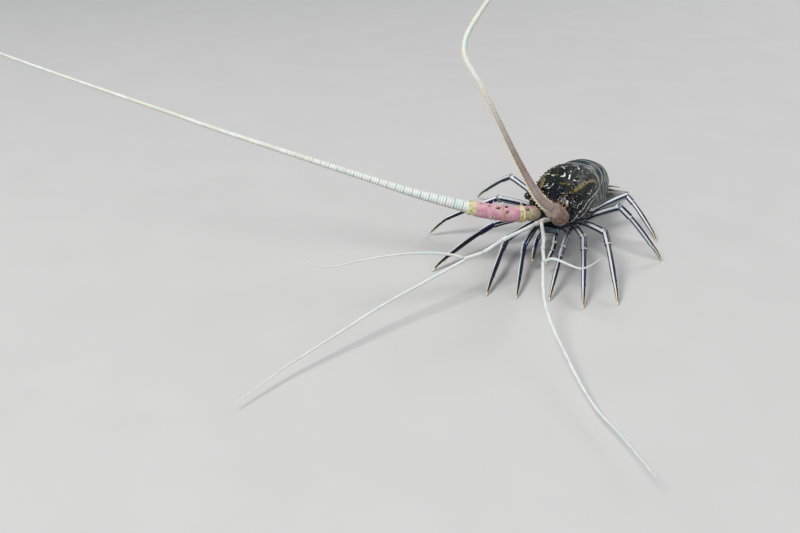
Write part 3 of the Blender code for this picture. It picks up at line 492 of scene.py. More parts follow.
def make_peduncle_finish(name):
    finish = Finish(name)
    run = finish.run()
    spot = finish.attribute("spot")
    shaded = finish.attribute("shaded")
    number = finish.attribute("part")
    base = finish.step(number, 0.4, 0.6, 1.0, 0.0)
    last = finish.step(number, 1.4, 1.6)
    middle = finish.minus(finish.minus(1.0, base), last)
    waver = finish.waver(500.0, 3.0, 0.010)
    mottle = finish.step(finish.noise(160.0, 4.0, 0.6), 0.35, 0.70)
    pink = finish.mix(mottle, "pink", "light_pink")
    # Painted shade: the left antenna, marked shaded, gets a darker red-brown copy of the pink peduncle
    # colour.
    painted_shade_red = finish.mix(mottle, "red_brown", "rose")
    colour = finish.mix(shaded, pink, painted_shade_red)
    fine = finish.step(finish.noise(1100.0, 2.0), 0.50, 0.66)
    colour = finish.mix(finish.times(fine, 0.25), colour, "cream")
    flecks = finish.step(finish.noise(420.0, 2.0), 0.50, 0.62)
    tint = finish.mix(flecks, "cream", "lime")
    # Painted shade: collar colour of the left antenna, which lies in shade.
    painted_shade_collar = finish.mix(flecks, "taupe", "grey_pink")
    patches = finish.times(finish.step(finish.noise(110.0, 2.0), 0.46, 0.54), base)
    colour = finish.mix(finish.times(patches, finish.minus(1.0, shaded)), colour, tint)
    # Painted shade: the left antenna's base segment, which lies in shade behind the others, is painted dark
    # brown.
    colour = finish.mix(finish.times(base, shaded), colour, "umber")
    # Darker red-brown towards each peduncle's underside.
    underside_darkening = finish.step(run[2], -0.95, -0.25, 0.55, 0.0)
    colour = finish.mix(underside_darkening, colour, "red_brown")
    uneven = finish.plus(run[0], finish.times(waver, 8.0))
    collar = finish.step(finish.minus(uneven, finish.times(middle, 0.13)), 0.78, 0.83)
    ring = finish.mix(middle, tint, "tan")
    colour = finish.mix(collar, colour, finish.mix(shaded, ring, painted_shade_collar))
    reach = finish.plus(finish.times(middle, 0.10), finish.times(base, 0.26))
    root = finish.step(finish.minus(uneven, reach), 0.04, 0.09, 1.0, 0.0)
    ring = finish.mix(last, tint, "tan")
    # Painted shade: on the left antenna the root ring is red-brown.
    colour = finish.mix(root, colour, finish.mix(shaded, ring, "red_brown"))
    halo = finish.step(finish.plus(spot, waver), 0.002, 0.012, 0.6, 0.0)
    colour = finish.mix(halo, colour, "cream")
    freckle = finish.cells(210.0, randomness=0.9)
    freckle = finish.step(freckle, 0.12, 0.16, 0.85, 0.0)
    colour = finish.mix(freckle, colour, "maroon")
    dark = finish.step(finish.plus(spot, waver), -0.004, 0.001, 1.0, 0.0)
    colour = finish.mix(dark, colour, "maroon")
    roughness = finish.patchy(400.0, 2.0, 0.36, 0.50)
    return finish.finish(colour, roughness, relief(finish, 0.45, 0.4), coat=0.06)


def make_whip_finish(name):
    finish = Finish(name)
    run = finish.run()
    along = finish.attribute("part")
    shaded = finish.attribute("shaded")
    phase = finish.math("FRACT", run[0])
    third = finish.math("FRACT", finish.times(run[0], 1.0 / 3.0))
    depth = finish.step(third, 0.30, 0.36, 1.0, 0.28)
    line = finish.times(finish.step(phase, 0.12, 0.26, 1.0, 0.0), depth)
    fade = finish.step(along, 0.08, 0.50, 0.90, 0.15)
    # Painted shade: the rings of the left whip, which is marked shaded, are drawn fainter.
    fade = finish.times(fade, finish.math("MULTIPLY_ADD", shaded, -0.45, 1.0))
    tone = finish.step(finish.noise(150.0, 2.0), 0.35, 0.65)
    pale = finish.mix(tone, "white", "ice")
    cream = finish.times(finish.step(finish.noise(60.0, 1.0), 0.45, 0.60), 0.30)
    cream = finish.times(cream, finish.step(along, 0.10, 0.35))
    colour = finish.mix(cream, pale, "cream")
    # Painted shade: near its root the left whip is taupe except along its lit edge.
    painted_shade_share = finish.step(finish.plus(run[1], finish.times(run[2], 0.15)), -0.84, -0.62)
    painted_shade_share = finish.times(painted_shade_share, finish.step(along, 0.12, 0.48, 1.0, 0.0))
    painted_shade_share = finish.times(painted_shade_share, shaded)
    painted_shade_tone = finish.mix(tone, "taupe", "grey_pink")
    colour = finish.mix(painted_shade_share, colour, painted_shade_tone)
    # A thin line along one edge of each whip: tan on the right whip, and on the left whip a stronger
    # butter-yellow painted highlight along its lit edge.
    edge = finish.step(run[1], -0.93, -0.76, 1.0, 0.0)
    edge = finish.times(edge, finish.math("MULTIPLY_ADD", shaded, 0.30, 0.45))
    colour = finish.mix(edge, colour, finish.mix(shaded, "tan", "butter"))
    colour = finish.mix(finish.times(line, fade), colour, "ring_grey")
    return finish.finish(colour, 0.42, finish.bump(finish.noise(1800.0, 2.0), 0.0002, 0.3))


def make_feeler_finish(name):
    finish = Finish(name)
    run = finish.run()
    stalk = finish.attribute("shaded")
    phase = finish.math("FRACT", run[0])
    line = finish.step(phase, 0.10, 0.30, 0.22, 0.0)
    tone = finish.step(finish.noise(180.0, 3.0), 0.35, 0.70)
    colour = finish.mix(tone, "white", "ice")
    flush = finish.step(finish.noise(70.0, 1.0), 0.52, 0.64)
    colour = finish.mix(finish.times(flush, 0.18), colour, "light_pink")
    colour = finish.mix(line, colour, "taupe")
    marks = finish.step(finish.noise(190.0, 2.0), 0.45, 0.50)
    near = finish.step(run[0], 0.10, 0.24, 1.0, 0.0)
    marks = finish.times(marks, finish.times(near, stalk))
    colour = finish.mix(marks, colour, "navy")
    return finish.finish(colour, 0.38, finish.bump(finish.noise(1500.0, 2.0), 0.0002, 0.3), coat=0.05)


def make_plate_finish(name):
    finish = Finish(name)
    ground = dark_shell(finish, "navy", "deep_green")
    marks = finish.step(finish.noise(330.0, 3.0, 0.6), 0.55, 0.60)
    colour = finish.mix(marks, ground, "cream")
    flecks = finish.step(finish.noise(240.0, 2.0), 0.60, 0.66)
    colour = finish.mix(flecks, colour, "orange")
    return finish.finish(colour, 0.38, relief(finish, 0.4, 0.4), coat=0.1)


def make_underside_finish(name):
    finish = Finish(name)
    ground = finish.mix(finish.step(finish.noise(60.0, 3.0), 0.35, 0.65), "slate", "navy")
    lines = finish.step(finish.noise(150.0, 2.0, 0.5), 0.55, 0.60)
    colour = finish.mix(finish.times(lines, 0.7), ground, "pale_blue")
    colour = finish.mix(dots(finish, 240.0, 0.15, 0.5), colour, "white")
    return finish.finish(colour, 0.42, relief(finish, 0.4, 0.5), coat=0.05)


def make_abdomen_finish(name):
    finish = Finish(name)
    run = finish.run()
    part = finish.attribute("part")
    waver = finish.waver(300.0, 3.0, 0.05)
    along = finish.plus(run[0], waver)
    ground = dark_shell(finish, "deep_green", "sea_green", 0.50)
    mottle = finish.step(finish.noise(110.0, 3.0), 0.45, 0.65)
    ground = finish.mix(finish.times(mottle, 0.6), ground, "navy")
    body = finish.step(part, 0.4, 0.5, 1.0, 0.0)
    white = finish.times(band(finish, along, 0.80, 0.036, 0.010), body)
    black = finish.times(band(finish, along, 0.80, 0.105, 0.02), body)
    colour = finish.mix(dots(finish, 230.0, 0.17, 0.50), ground, "pale_blue")
    colour = finish.mix(black, colour, "navy")
    colour = finish.mix(white, colour, "white")
    lobe = finish.step(part, 0.5, 0.6)
    lobe_edge = finish.times(lobe, finish.step(finish.size_of(run[1]), 0.84, 0.93))
    colour = finish.mix(finish.times(lobe_edge, 0.7), colour, "white")
    under = finish.times(finish.step(run[2], -0.70, -0.45, 1.0, 0.0), body)
    colour = finish.mix(under, colour, "slate")
    roughness = finish.patchy(300.0, 3.0, 0.26, 0.38)
    return finish.finish(colour, roughness, relief(finish, 0.22, 0.3), coat=0.12, specular=0.25)


def make_tail_finish(name):
    finish = Finish(name)
    run = finish.run()
    ground = dark_shell(finish, "sea_green", "blue", 0.50)
    brown = finish.step(run[0], 0.45, 0.75)
    colour = finish.mix(finish.times(brown, 0.55), ground, "olive")
    rays = finish.math("FRACT", finish.math("MULTIPLY_ADD", run[1], 9.0, 9.5))
    ray = finish.step(finish.size_of(finish.minus(rays, 0.5)), 0.10, 0.22, 1.0, 0.0)
    ray = finish.times(ray, finish.step(run[0], 0.30, 0.50))
    colour = finish.mix(finish.times(ray, 0.65), colour, "cream")
    fringe = finish.step(run[0], 0.955, 0.975)
    colour = finish.mix(fringe, colour, "white")
    colour = finish.mix(dots(finish, 260.0, 0.15, 0.50), colour, "white")
    height = finish.times(finish.size_of(finish.minus(rays, 0.5)), -1.0)
    normal = finish.bump(height, 0.0004, 0.6, relief(finish, 0.2, 0.3))
    return finish.finish(colour, 0.34, normal, coat=0.15)


def make_paddle_finish(name):
    finish = Finish(name)
    run = finish.run()
    ground = dark_shell(finish, "sea_green", "blue", 0.5)
    edge = finish.step(finish.size_of(run[1]), 0.66, 0.86)
    colour = finish.mix(edge, ground, "cream")
    return finish.finish(colour, 0.45, relief(finish, 0.2, 0.3))


def smooth_value(knots, t):
    """The value at t of a smooth curve through (t, value) knots."""
    last = len(knots) - 1
    i = 0
    while i < last - 1 and t > knots[i + 1][0]:
        i += 1
    (t0, v0), (t1, v1) = knots[i], knots[i + 1]
    before = knots[max(i - 1, 0)]
    after = knots[min(i + 2, last)]
    span = t1 - t0
    slope0 = (v1 - before[1]) / (t1 - before[0]) * span
    slope1 = (after[1] - v0) / (after[0] - t0) * span
    u = (t - t0) / span
    ease = u * u * (3 - 2 * u)
    return v0 + (v1 - v0) * ease + slope0 * u * (1 - u) ** 2 - slope1 * u * u * (1 - u)


def smooth_path(places, steps):
    """Points along a smooth curve through the places, evenly stepped by its length."""
    lengths = [0.0]
    for a, b in zip(places, places[1:]):
        lengths.append(lengths[-1] + (Vector(b) - Vector(a)).length)
    axes = [list(zip(lengths, axis)) for axis in zip(*places)]
    path = []
    for step in range(steps + 1):
        t = lengths[-1] * step / steps
        path.append(Vector([smooth_value(axis, t) for axis in axes]))
    return path


def side_sign(side):
    return 1 if side == "left" else -1


def mirrored(places, side):
    return [(x * side_sign(side), y, z) for x, y, z in places]


def new_shape():
    """A bmesh whose points know how far along and round their limb they are, and its part."""
    shape = bmesh.new()
    shape.verts.layers.float_vector.new("run")
    shape.verts.layers.int.new("limb")
    for name in ("part", "white", "cream", "spot", "shaded"):
        shape.verts.layers.float.new(name)
    return shape


def home():
    """Where the floor under the carapace's middle lies in the frame."""
    low, high = FLOOR_BOX
    length = bpy.context.scene.lobster_sizes.carapace_length
    return Vector(((low.x + high.x) / 2, CARAPACE_BOX[0].y + CARAPACE_FRONT * length, 0))


def set_piece(name, shape, finish, nodes=(), levels=0):
    """Turn a bmesh into a finished piece at its place in the frame."""
    length = bpy.context.scene.lobster_sizes.carapace_length
    bmesh.ops.scale(shape, vec=Vector((length, length, length)), verts=shape.verts)
    bmesh.ops.translate(shape, vec=home(), verts=shape.verts)
    bmesh.ops.recalc_face_normals(shape, faces=shape.faces)
    mesh = bpy.data.meshes.new(name)
    shape.to_mesh(mesh)
    shape.free()
    mesh.shade_smooth()
    mesh.materials.append(finish)
    piece = bpy.data.objects.new(name, mesh)
    bpy.context.scene.collection.objects.link(piece)
    if levels:
        smooth = piece.modifiers.new("smooth", "SUBSURF")
        smooth.levels = levels
        smooth.render_levels = levels
    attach(piece, "root")
    if nodes:
        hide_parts(*nodes)


def next_ring(shape, edges):
    """Extrude loops of edges and return the new loops' points and edges."""
    made = bmesh.ops.extrude_edge_only(shape, edges=edges)["geom"]
    ring = [item for item in made if isinstance(item, bmesh.types.BMVert)]
    loop = set(ring)
    edges = [item for item in made if isinstance(item, bmesh.types.BMEdge) and loop.issuperset(item.verts)]
    return ring, edges


def first_ring(shape, sides):
    """A circle of points, and its edges in an order that is the same each run."""
    ring = bmesh.ops.create_circle(shape, segments=sides, radius=1.0)["verts"]
    return ring, list(dict.fromkeys(edge for vert in ring for edge in vert.link_edges))


class Limb:
    """Where the rings of one limb go, and what its points are told about it."""

    def __init__(self, path, radii, up=UP, part=0.0, shares=None, carry=False, turned=1):
        self.part = part
        self.turned = turned
        last = len(path) - 1
        self.shares = shares or [i / last for i in range(last + 1)]
        self.places = []
        for i, centre in enumerate(path):
            ahead = path[min(i + 1, last)] - path[min(i, last - 1)]
            behind = path[max(i, 1)] - path[max(i, 1) - 1]
            tangent = (ahead.normalized() + behind.normalized()).normalized()
            square = (up - tangent * up.dot(tangent)).normalized()
            across = tangent.cross(square)
            wide, tall = radii[i] if isinstance(radii[i], tuple) else (radii[i], radii[i])
            turn = Matrix((across * wide, square * tall, tangent * (wide + tall) / 2)).transposed()
            self.places.append(Matrix.Translation(centre) @ turn.to_4x4())
            if carry:
                up = square

    def refine(self, longest, cuts):
        """Cut every stretch whose sides are longer than that with evenly spaced rings."""
        rim = Vector((1, 0, 0))
        places, shares = [self.places[0]], [self.shares[0]]
        for i in range(1, len(self.places)):
            start, end = self.places[i - 1], self.places[i]
            steps = cuts + 1 if (end @ rim - start @ rim).length > longest else 1
            for k in range(1, steps + 1):
                places.append(start * (1 - k / steps) + end * (k / steps))
                shares.append(self.shares[i - 1] * (1 - k / steps) + self.shares[i] * (k / steps))
        self.places, self.shares = places, shares
        return self


def draw_limbs(shape, sides, limbs):
    """Draw closed limbs with the same number of rings: each ring is extruded from the last
    and moved to its place."""
    run = shape.verts.layers.float_vector["run"]
    part = shape.verts.layers.float["part"]
    number = shape.verts.layers.int["limb"]
    edges = []
    for k, limb in enumerate(limbs):
        ring, loop = first_ring(shape, sides)
        edges += loop
        for vert in ring:
            vert[number] = k
            vert[part] = limb.part
            vert[run] = (limb.shares[0], vert.co.x * limb.turned, vert.co.y)
            vert.co = limb.places[0] @ vert.co
    root = edges
    for i in range(1, len(limbs[0].places)):
        steps = [limb.places[i] @ limb.places[i - 1].inverted() for limb in limbs]
        ring, edges = next_ring(shape, edges)
        for vert in ring:
            limb = limbs[vert[number]]
            vert.co = steps[vert[number]] @ vert.co
            vert[run].x = limb.shares[i]
    for loops in (root, edges):
        bmesh.ops.edgeloop_fill(shape, edges=loops)


def limb_piece(name, sides, limbs, finish, nodes=(), levels=0):
    """A piece made of closed limbs alone."""
    shape = new_shape()
    draw_limbs(shape, sides, limbs)
    set_piece(name, shape, finish, nodes, levels)


# A limb segment: share of its length, factor on its radius, and which of its three radii
# it takes
BONE = (
    (0.000, 0.30, 0),
    (0.004, 0.80, 0),
    (0.030, 1.00, 0),
    (0.110, 0.97, 0),
    (0.300, 0.98, 1),
    (0.500, 1.00, 1),
    (0.700, 1.00, 1),
    (0.860, 0.98, 2),
    (0.925, 1.07, 2),
    (0.970, 1.08, 2),
    (0.993, 0.98, 2),
    (1.000, 0.74, 2),
    (1.002, 0.25, 2),
)


def bone(start, end, radii, up, part=0.0, bow=0.0, turned=1, collar=1.0):
    """One limb segment: a waist at its root, a straight shaft and a collar at its far end."""
    line = end - start
    lift = (UP - line.normalized() * UP.dot(line.normalized())) * bow
    path = []
    sizes = []
    for share, factor, which in BONE:
        path.append(start + line * share + lift * math.sin(math.pi * min(share, 1.0)))
        sizes.append(radii[which] * (1 + (factor - 1) * collar if factor > 1 else factor))
    return Limb(path, sizes, up, part, [share for share, factor, which in BONE], turned=turned)


# A thorn: share of its length, factor on its radius
THORN = ((0.00, 1.30), (0.12, 1.08), (0.38, 0.72), (0.70, 0.38), (1.00, 0.06))


def thorn(root, direction, length, radius, sunk=0.02, hook=0.12, part=0.0):
    """A thorn that flares at its foot and bends a little towards its tip."""
    direction = direction.normalized()
    bend = (UP - direction * UP.dot(direction)) * hook * length
    path = []
    for share, factor in THORN:
        path.append(root + direction * (share * (length + sunk) - sunk) + bend * share * share)
    up = Vector((1, 0, 0)) if abs(direction.x) < 0.8 else Vector((0, 1, 0))
    radii = [radius * factor for share, factor in THORN]
    return Limb(path, radii, up, part, [share for share, factor in THORN])


@functools.lru_cache(maxsize=4000)
def shell_station(place):
    """The carapace's half width, top, bottom and sweep at a place."""
    columns = [[(row[0], row[k]) for row in CARAPACE] for k in (1, 2, 3, 4)]
    return [smooth_value(column, place) for column in columns]


def arch(angle, top, bottom):
    """A shell's cross section at an angle: its place across, in half widths, and its height."""
    across = math.cos(angle)
    rise = math.sin(angle)
    if rise >= 0:
        return math.copysign(abs(across) ** BACK_BEND[0], across), top * rise ** BACK_BEND[1]
    x = math.copysign(abs(across) ** BELLY_BEND[0], across) * (1 - BELLY_DRAW * abs(rise))
    return x, -bottom * abs(rise) ** BELLY_BEND[1]


def swell(value, centre, height, half_width):
    """A smooth hump about a centre."""
    return height * math.exp(-(((value - centre) / half_width) ** 2))


def shell_point(place, angle):
    """The carapace's surface at a place and an angle from its left flank over its back."""
    width, top, bottom, sweep = shell_station(place)
    degrees = math.degrees(angle)
    from_flank = min(degrees, 180 - degrees) if degrees < 270 else degrees - 360
    if from_flank > -40:
        groove = swell(place, smooth_value(GROOVE, max(from_flank, GROOVE[0][0])), *GROOVE_FORM)
        behind = swell(place, *REAR_FURROW)
        front, rear = BACK_FURROW_ENDS
        furrow = swell(from_flank, *BACK_FURROW) * (front < place < rear)
        pinch = 1 - groove - behind - furrow + swell(from_flank, *BACK_RIDGE)
    else:
        pinch = 1.0
    x, z = arch(angle, top, bottom)
    return Vector((width * x * pinch, place + sweep * x * x, AXIS_HEIGHT + z * pinch))


def shell_normal(place, angle):
    ahead = shell_point(place + 0.004, angle) - shell_point(place - 0.004, angle)
    around = shell_point(place, angle + 0.02) - shell_point(place, angle - 0.02)
    normal = around.cross(ahead).normalized()
    hub = Vector((0, place, AXIS_HEIGHT))
    return normal if normal.dot(shell_point(place, angle) - hub) > 0 else -normal


# Length of one degree round the shell, in carapace lengths
DEGREE_LENGTH = 0.0060


def mark_distance(place, degrees, marks):
    """How far a point of the shell lies outside the nearest mark's edge."""
    best = 1.0
    here_y = degrees * DEGREE_LENGTH
    for half, line in marks:
        for (p0, d0), (p1, d1) in zip(line, line[1:]):
            x0, y0, x1, y1 = p0, d0 * DEGREE_LENGTH, p1, d1 * DEGREE_LENGTH
            dx, dy = x1 - x0, y1 - y0
            t = ((place - x0) * dx + (here_y - y0) * dy) / (dx * dx + dy * dy)
            t = min(max(t, 0.0), 1.0)
            off = math.hypot(place - x0 - dx * t, here_y - y0 - dy * t) - half
            if off < best:
                best = off
    return best


def draw_drum(shape, sides, places, mould):
    """Draw rings along a drum and press each point into the form that mould gives."""
    run = shape.verts.layers.float_vector["run"]
    ring, edges = first_ring(shape, sides)
    closing = [edges]
    drawn = []
    for i, place in enumerate(places):
        if i > 0:
            ring, edges = next_ring(shape, edges)
            bmesh.ops.translate(shape, vec=(0, 0, place - places[i - 1]), verts=ring)
        for vert in ring:
            vert[run] = (place, vert.co.x, vert.co.y)
        drawn += ring
    closing.append(edges)
    for vert in drawn:
        place, across, over = vert[run]
        vert.co = mould(place, math.atan2(over, across))
    for loop in closing:
        bmesh.ops.edgeloop_fill(shape, edges=loop)
    return drawn


def build_carapace(sizes):
    shape = new_shape()
    white = shape.verts.layers.float["white"]
    cream = shape.verts.layers.float["cream"]
    orange = shape.verts.layers.float["spot"]
    run = shape.verts.layers.float_vector["run"]
    first, last = CARAPACE[0][0], CARAPACE[-1][0]
    count = sizes.carapace_rings
    places = [first + (last - first) * i / count for i in range(count + 1)]

    def mould(place, angle):
        point = shell_point(place, angle)
        grain = noise.noise(point * 55) * 0.0012 + noise.noise(point * 22) * 0.0016
        return point + (point - Vector((0, place, AXIS_HEIGHT))).normalized() * grain

    drawn = draw_drum(shape, sizes.carapace_sides, places, mould)
    for vert in drawn:
        place, across, over = vert[run]
        degrees = math.degrees(math.atan2(over, abs(across)))
        full = degrees if across > 0 else 180 - degrees
        for layer, marks, back_marks in (
            (white, WHITE_MARKS, BACK_WHITE_MARKS),
            (cream, CREAM_MARKS, BACK_CREAM_MARKS),
        ):
            vert[layer] = min(
                mark_distance(place, degrees, marks), mark_distance(place, full, back_marks)
            )
        vert[orange] = mark_distance(place, degrees, ORANGE_MARKS)
    finish = finish_named("painted_carapace", make_carapace_finish)
    set_piece("carapace_shell", shape, finish, ["carapace"])


# Where small thorns are scattered: first and last place, lowest and highest degree; how
# far they keep from the groove and from each other
FIELD_PLACES = (-0.44, 0.40)
FIELD_DEGREES = (2, 88)
GROOVE_ROOM = 0.035
THORN_ROOM = 0.026


def thorn_places(sizes):
    """Where carapace thorns stand: the great rows, then small ones scattered between."""
    chance = random.Random(sizes.seed)
    found = []
    for side in SIDES:
        for degrees, first, last, count, first_length, last_length in THORN_ROWS:
            for k in range(count):
                share = k / (count - 1)
                place = first + (last - first) * share + chance.uniform(-0.010, 0.010)
                length = (first_length + (last_length - first_length) * share) * chance.uniform(0.88, 1.12)
                found.append((side, place, degrees + chance.uniform(-2.5, 2.5), length))
    tries = 0
    while len(found) < sizes.carapace_thorns and tries < 6000:
        tries += 1
        side = chance.choice(SIDES)
        place = chance.uniform(*FIELD_PLACES)
        degrees = chance.uniform(*FIELD_DEGREES)
        groove = smooth_value(GROOVE, degrees)
        if abs(place - groove) < GROOVE_ROOM:
            continue
        if any(
            other[0] == side
            and math.hypot(other[1] - place, (other[2] - degrees) * DEGREE_LENGTH) < THORN_ROOM
            for other in found
        ):
            continue
        front = (FIELD_PLACES[1] - place) / (FIELD_PLACES[1] - FIELD_PLACES[0])
        length = 0.014 + 0.016 * front * chance.random() + 0.006 * chance.random()
        found.append((side, place, degrees, length))
    return found


def build_carapace_thorns(sizes):
    thorns = []
    for side, place, degrees, length in thorn_places(sizes):
        angle = math.radians(degrees if side == "left" else 180 - degrees)
        root = shell_point(place, angle)
        lean = shell_normal(place, angle) * 0.75 + Vector((0, -0.85, 0))
        slender = 0.27 if length > 0.034 else 0.34
        thorns.append(thorn(root, lean, length, length * slender, 0.010))
    finish = finish_named("thorn_dark", make_thorn_finish, "navy", "deep_green", "butter")
    limb_piece("carapace_thorns", 7, thorns, finish)


# The left horn's way, and its radius by share of its length; the eye stalk's joints
HORN = ((0.125, -0.38, 0.765), (0.135, -0.49, 0.790), (0.150, -0.60, 0.855), (0.158, -0.69, 0.940))
HORN_SIZES = ((0.0, 0.048), (0.33, 0.044), (0.66, 0.028), (1.0, 0.003))
EYE_STALK = ((0.160, -0.42, 0.735), (0.222, -0.480, 0.778), (0.264, -0.510, 0.800))
EYE_RADIUS = 0.047


def build_horns(sizes):
    finish = finish_named("painted_horn", make_horn_finish)
    for side in SIDES:
        shape = new_shape()
        path = smooth_path(mirrored(HORN, side), 16)
        radii = []
        for i in range(17):
            size = smooth_value(HORN_SIZES, i / 16)
            radii.append((size * 0.84, size * 1.10))
        draw_limbs(shape, 20, [Limb(path, radii, carry=True)])
        sign = side_sign(side)
        thorns = []
        for place, length in ((0.30, 0.030), (0.48, 0.022)):
            root = path[int(place * 16)] + Vector((sign * 0.030, 0, 0.012))
            thorns.append(thorn(root, Vector((sign * 0.7, -0.6, 0.4)), length, length * 0.30, 0.012))
        draw_limbs(shape, 8, thorns)
        set_piece(f"horn_{side}_shell", shape, finish, [f"horn_{side}"], 1)


def build_eyes(sizes):
    stalk_finish = finish_named("eye_stalk", make_stalk_finish)
    eye_finish = finish_named("eye_cornea", make_eye_finish)
    for side in SIDES:
        joints = [Vector(place) for place in mirrored(EYE_STALK, side)]
        shape = new_shape()
        path = smooth_path([tuple(joint) for joint in joints], 10)
        radii = [0.026 + 0.010 * i / 10 + 0.004 * math.sin(i * 0.9) for i in range(11)]
        draw_limbs(shape, 18, [Limb(path, radii, carry=True)])
        set_piece(f"eye_stalk_{side}", shape, stalk_finish, levels=1)
        ball = new_shape()
        bmesh.ops.create_uvsphere(ball, u_segments=36, v_segments=20, radius=1.0)
        look = (joints[2] - joints[1]).normalized()
        turn = look.to_track_quat("Z", "Y").to_matrix().to_4x4()
        sizes_of_eye = Matrix.Diagonal((EYE_RADIUS * 1.02, EYE_RADIUS * 0.94, EYE_RADIUS * 0.92, 1))
        bmesh.ops.transform(ball, matrix=turn @ sizes_of_eye, verts=ball.verts)
        bmesh.ops.translate(ball, vec=joints[2], verts=ball.verts)
        set_piece(f"eye_{side}_cornea", ball, eye_finish, [f"eye_{side}"])


# The plate between the antennae: place and height along it, half width and half height
PLATE_LINE = ((-0.43, 0.648), (-0.47, 0.652), (-0.52, 0.656), (-0.56, 0.655), (-0.575, 0.653))
PLATE_RADII = ((0.050, 0.034), (0.048, 0.036), (0.042, 0.035), (0.030, 0.027), (0.008, 0.008))


def build_antennular_plate(sizes):
    shape = new_shape()
    path = [Vector((0, place, height)) for place, height in PLATE_LINE]
    draw_limbs(shape, 20, [Limb(path, PLATE_RADII)])
    thorns = []
    for place, length in ((-0.545, 0.060), (-0.500, 0.045)):
        for sign in (-1, 1):
            root = Vector((sign * 0.021, place, 0.680))
            thorns.append(thorn(root, Vector((sign * 0.12, -0.6, 0.7)), length, length * 0.24, 0.014))
    draw_limbs(shape, 9, thorns)
    finish = finish_named("painted_plate", make_plate_finish)
    set_piece("antennular_plate_shell", shape, finish, ["antennular_plate"], 1)


# Thorns of each antenna segment: share of its length, degrees round it from outside
# over the top, length
PEDUNCLE_THORNS = (
    ((0.78, 60, 0.070), (0.80, 110, 0.060), (0.82, 205, 0.055), (0.78, 335, 0.055)),
    ((0.82, 40, 0.060), (0.84, 90, 0.075), (0.84, 140, 0.060), (0.30, 215, 0.055), (0.78, 215, 0.070)),
    (
        (0.18, 65, 0.060),
        (0.42, 70, 0.050),
        (0.66, 75, 0.045),
        (0.20, 125, 0.055),
        (0.50, 130, 0.045),
        (0.14, 215, 0.065),
        (0.36, 218, 0.060),
        (0.58, 222, 0.050),
        (0.30, 345, 0.045),
        (0.60, 350, 0.040),
    ),
)
# Small thorns of the last segment; the others carry half as many
SMALL_THORNS = 26


def round_limb(start, end, radius, share, degrees, side):
    """A point on a limb's surface and the way out of it."""
    ahead = (end - start).normalized()
    up = (UP - ahead * UP.dot(ahead)).normalized()
    across = ahead.cross(up)
    angle = math.radians(degrees if side == "left" else 180 - degrees)
    out = across * math.cos(angle) + up * math.sin(angle)
    return start + (end - start) * share + out * radius, out, ahead


def build_peduncles(sizes):
    chance = random.Random(sizes.seed + 3)
    finish = finish_named("painted_peduncle", make_peduncle_finish)
    # The left antenna's thorns get a painted-shade copy of the pink thorn finish: browner and duller.
    thorn_paints = {
        "right": ("thorn_pink", "light_pink", "white"),
        "left": ("thorn_brown", "rose", "taupe"),
    }
    for side in SIDES:
        name, body, tip = thorn_paints[side]
        thorn_finish = finish_named(name, make_thorn_finish, "maroon", body, tip)
        joints = [Vector(place) for place in ANTENNA[side]]
        for number, name in enumerate(("base", "middle", "last")):
            start, end = joints[number], joints[number + 1]
            radii = PEDUNCLE_RADII[number]
            shape = new_shape()
            spot = shape.verts.layers.float["spot"]
            shaded = shape.verts.layers.float["shaded"]
            inside = start - (end - start).normalized() * 0.03 if number else start
            segment = bone(inside, end, radii, UP, float(number))
            draw_limbs(shape, 44, [segment.refine(longest=0.03, cuts=3)])
            thorns = []
            roots = []
            plan = list(PEDUNCLE_THORNS[number])
            for _ in range(SMALL_THORNS if number == 2 else SMALL_THORNS // 2):
                share = chance.uniform(0.12, 0.84)
                plan.append((share, chance.uniform(0, 360), chance.uniform(0.014, 0.026)))
            for share, degrees, length in plan:
                radius = radii[1] * 0.985
                root, out, ahead = round_limb(start, end, radius, share, degrees, side)
                thorns.append(thorn(root, out * 0.8 + ahead * 0.7, length, length * 0.30))
                roots.append((root, length * 0.42 if length > 0.03 else length * 0.30))
            for vert in shape.verts:
                vert[spot] = min((vert.co - root).length - reach for root, reach in roots)
                # The left antenna is marked shaded, so the peduncle finish paints it in shade colours.
                vert[shaded] = 1.0 if side == "left" else 0.0
            node = f"antenna_{side}_{name}"
            set_piece(f"{node}_shell", shape, finish, [node], 1)
            limb_piece(f"{node}_thorns", 8, thorns, thorn_finish)


# The way of each whip, and its radius by share of its length
WHIPS = {
    "right": (
        (-0.772, -0.999, 0.742),
        (-1.34, -1.22, 0.89),
        (-1.81, -1.38, 1.03),
        (-2.40, -1.58, 1.21),
        (-2.97, -1.78, 1.39),
        (-3.56, -1.97, 1.57),
        (-4.13, -2.16, 1.76),
        (-4.72, -2.35, 1.95),
        (-5.29, -2.54, 2.14),
        (-5.87, -2.73, 2.34),
        (-6.40, -2.88, 2.53),
    ),
    "left": (
        (0.273, -1.395, 1.097),
        (0.172, -1.419, 1.172),
        (0.061, -1.387, 1.274),
        (-0.064, -1.339, 1.413),
        (-0.261, -1.238, 1.633),
        (-0.427, -1.144, 1.828),
        (-0.607, -1.048, 2.037),
        (-0.76, -0.96, 2.20),
        (-0.92, -0.89, 2.36),
        (-0.99, -0.84, 2.47),
        (-1.02, -0.74, 2.59),
        (-0.99, -0.61, 2.73),
        (-0.94, -0.44, 2.88),
        (-0.86, -0.22, 3.08),
        (-0.74, 0.09, 3.36),
        (-0.58, 0.49, 3.66),
        (-0.38, 0.93, 3.92),
    ),
}
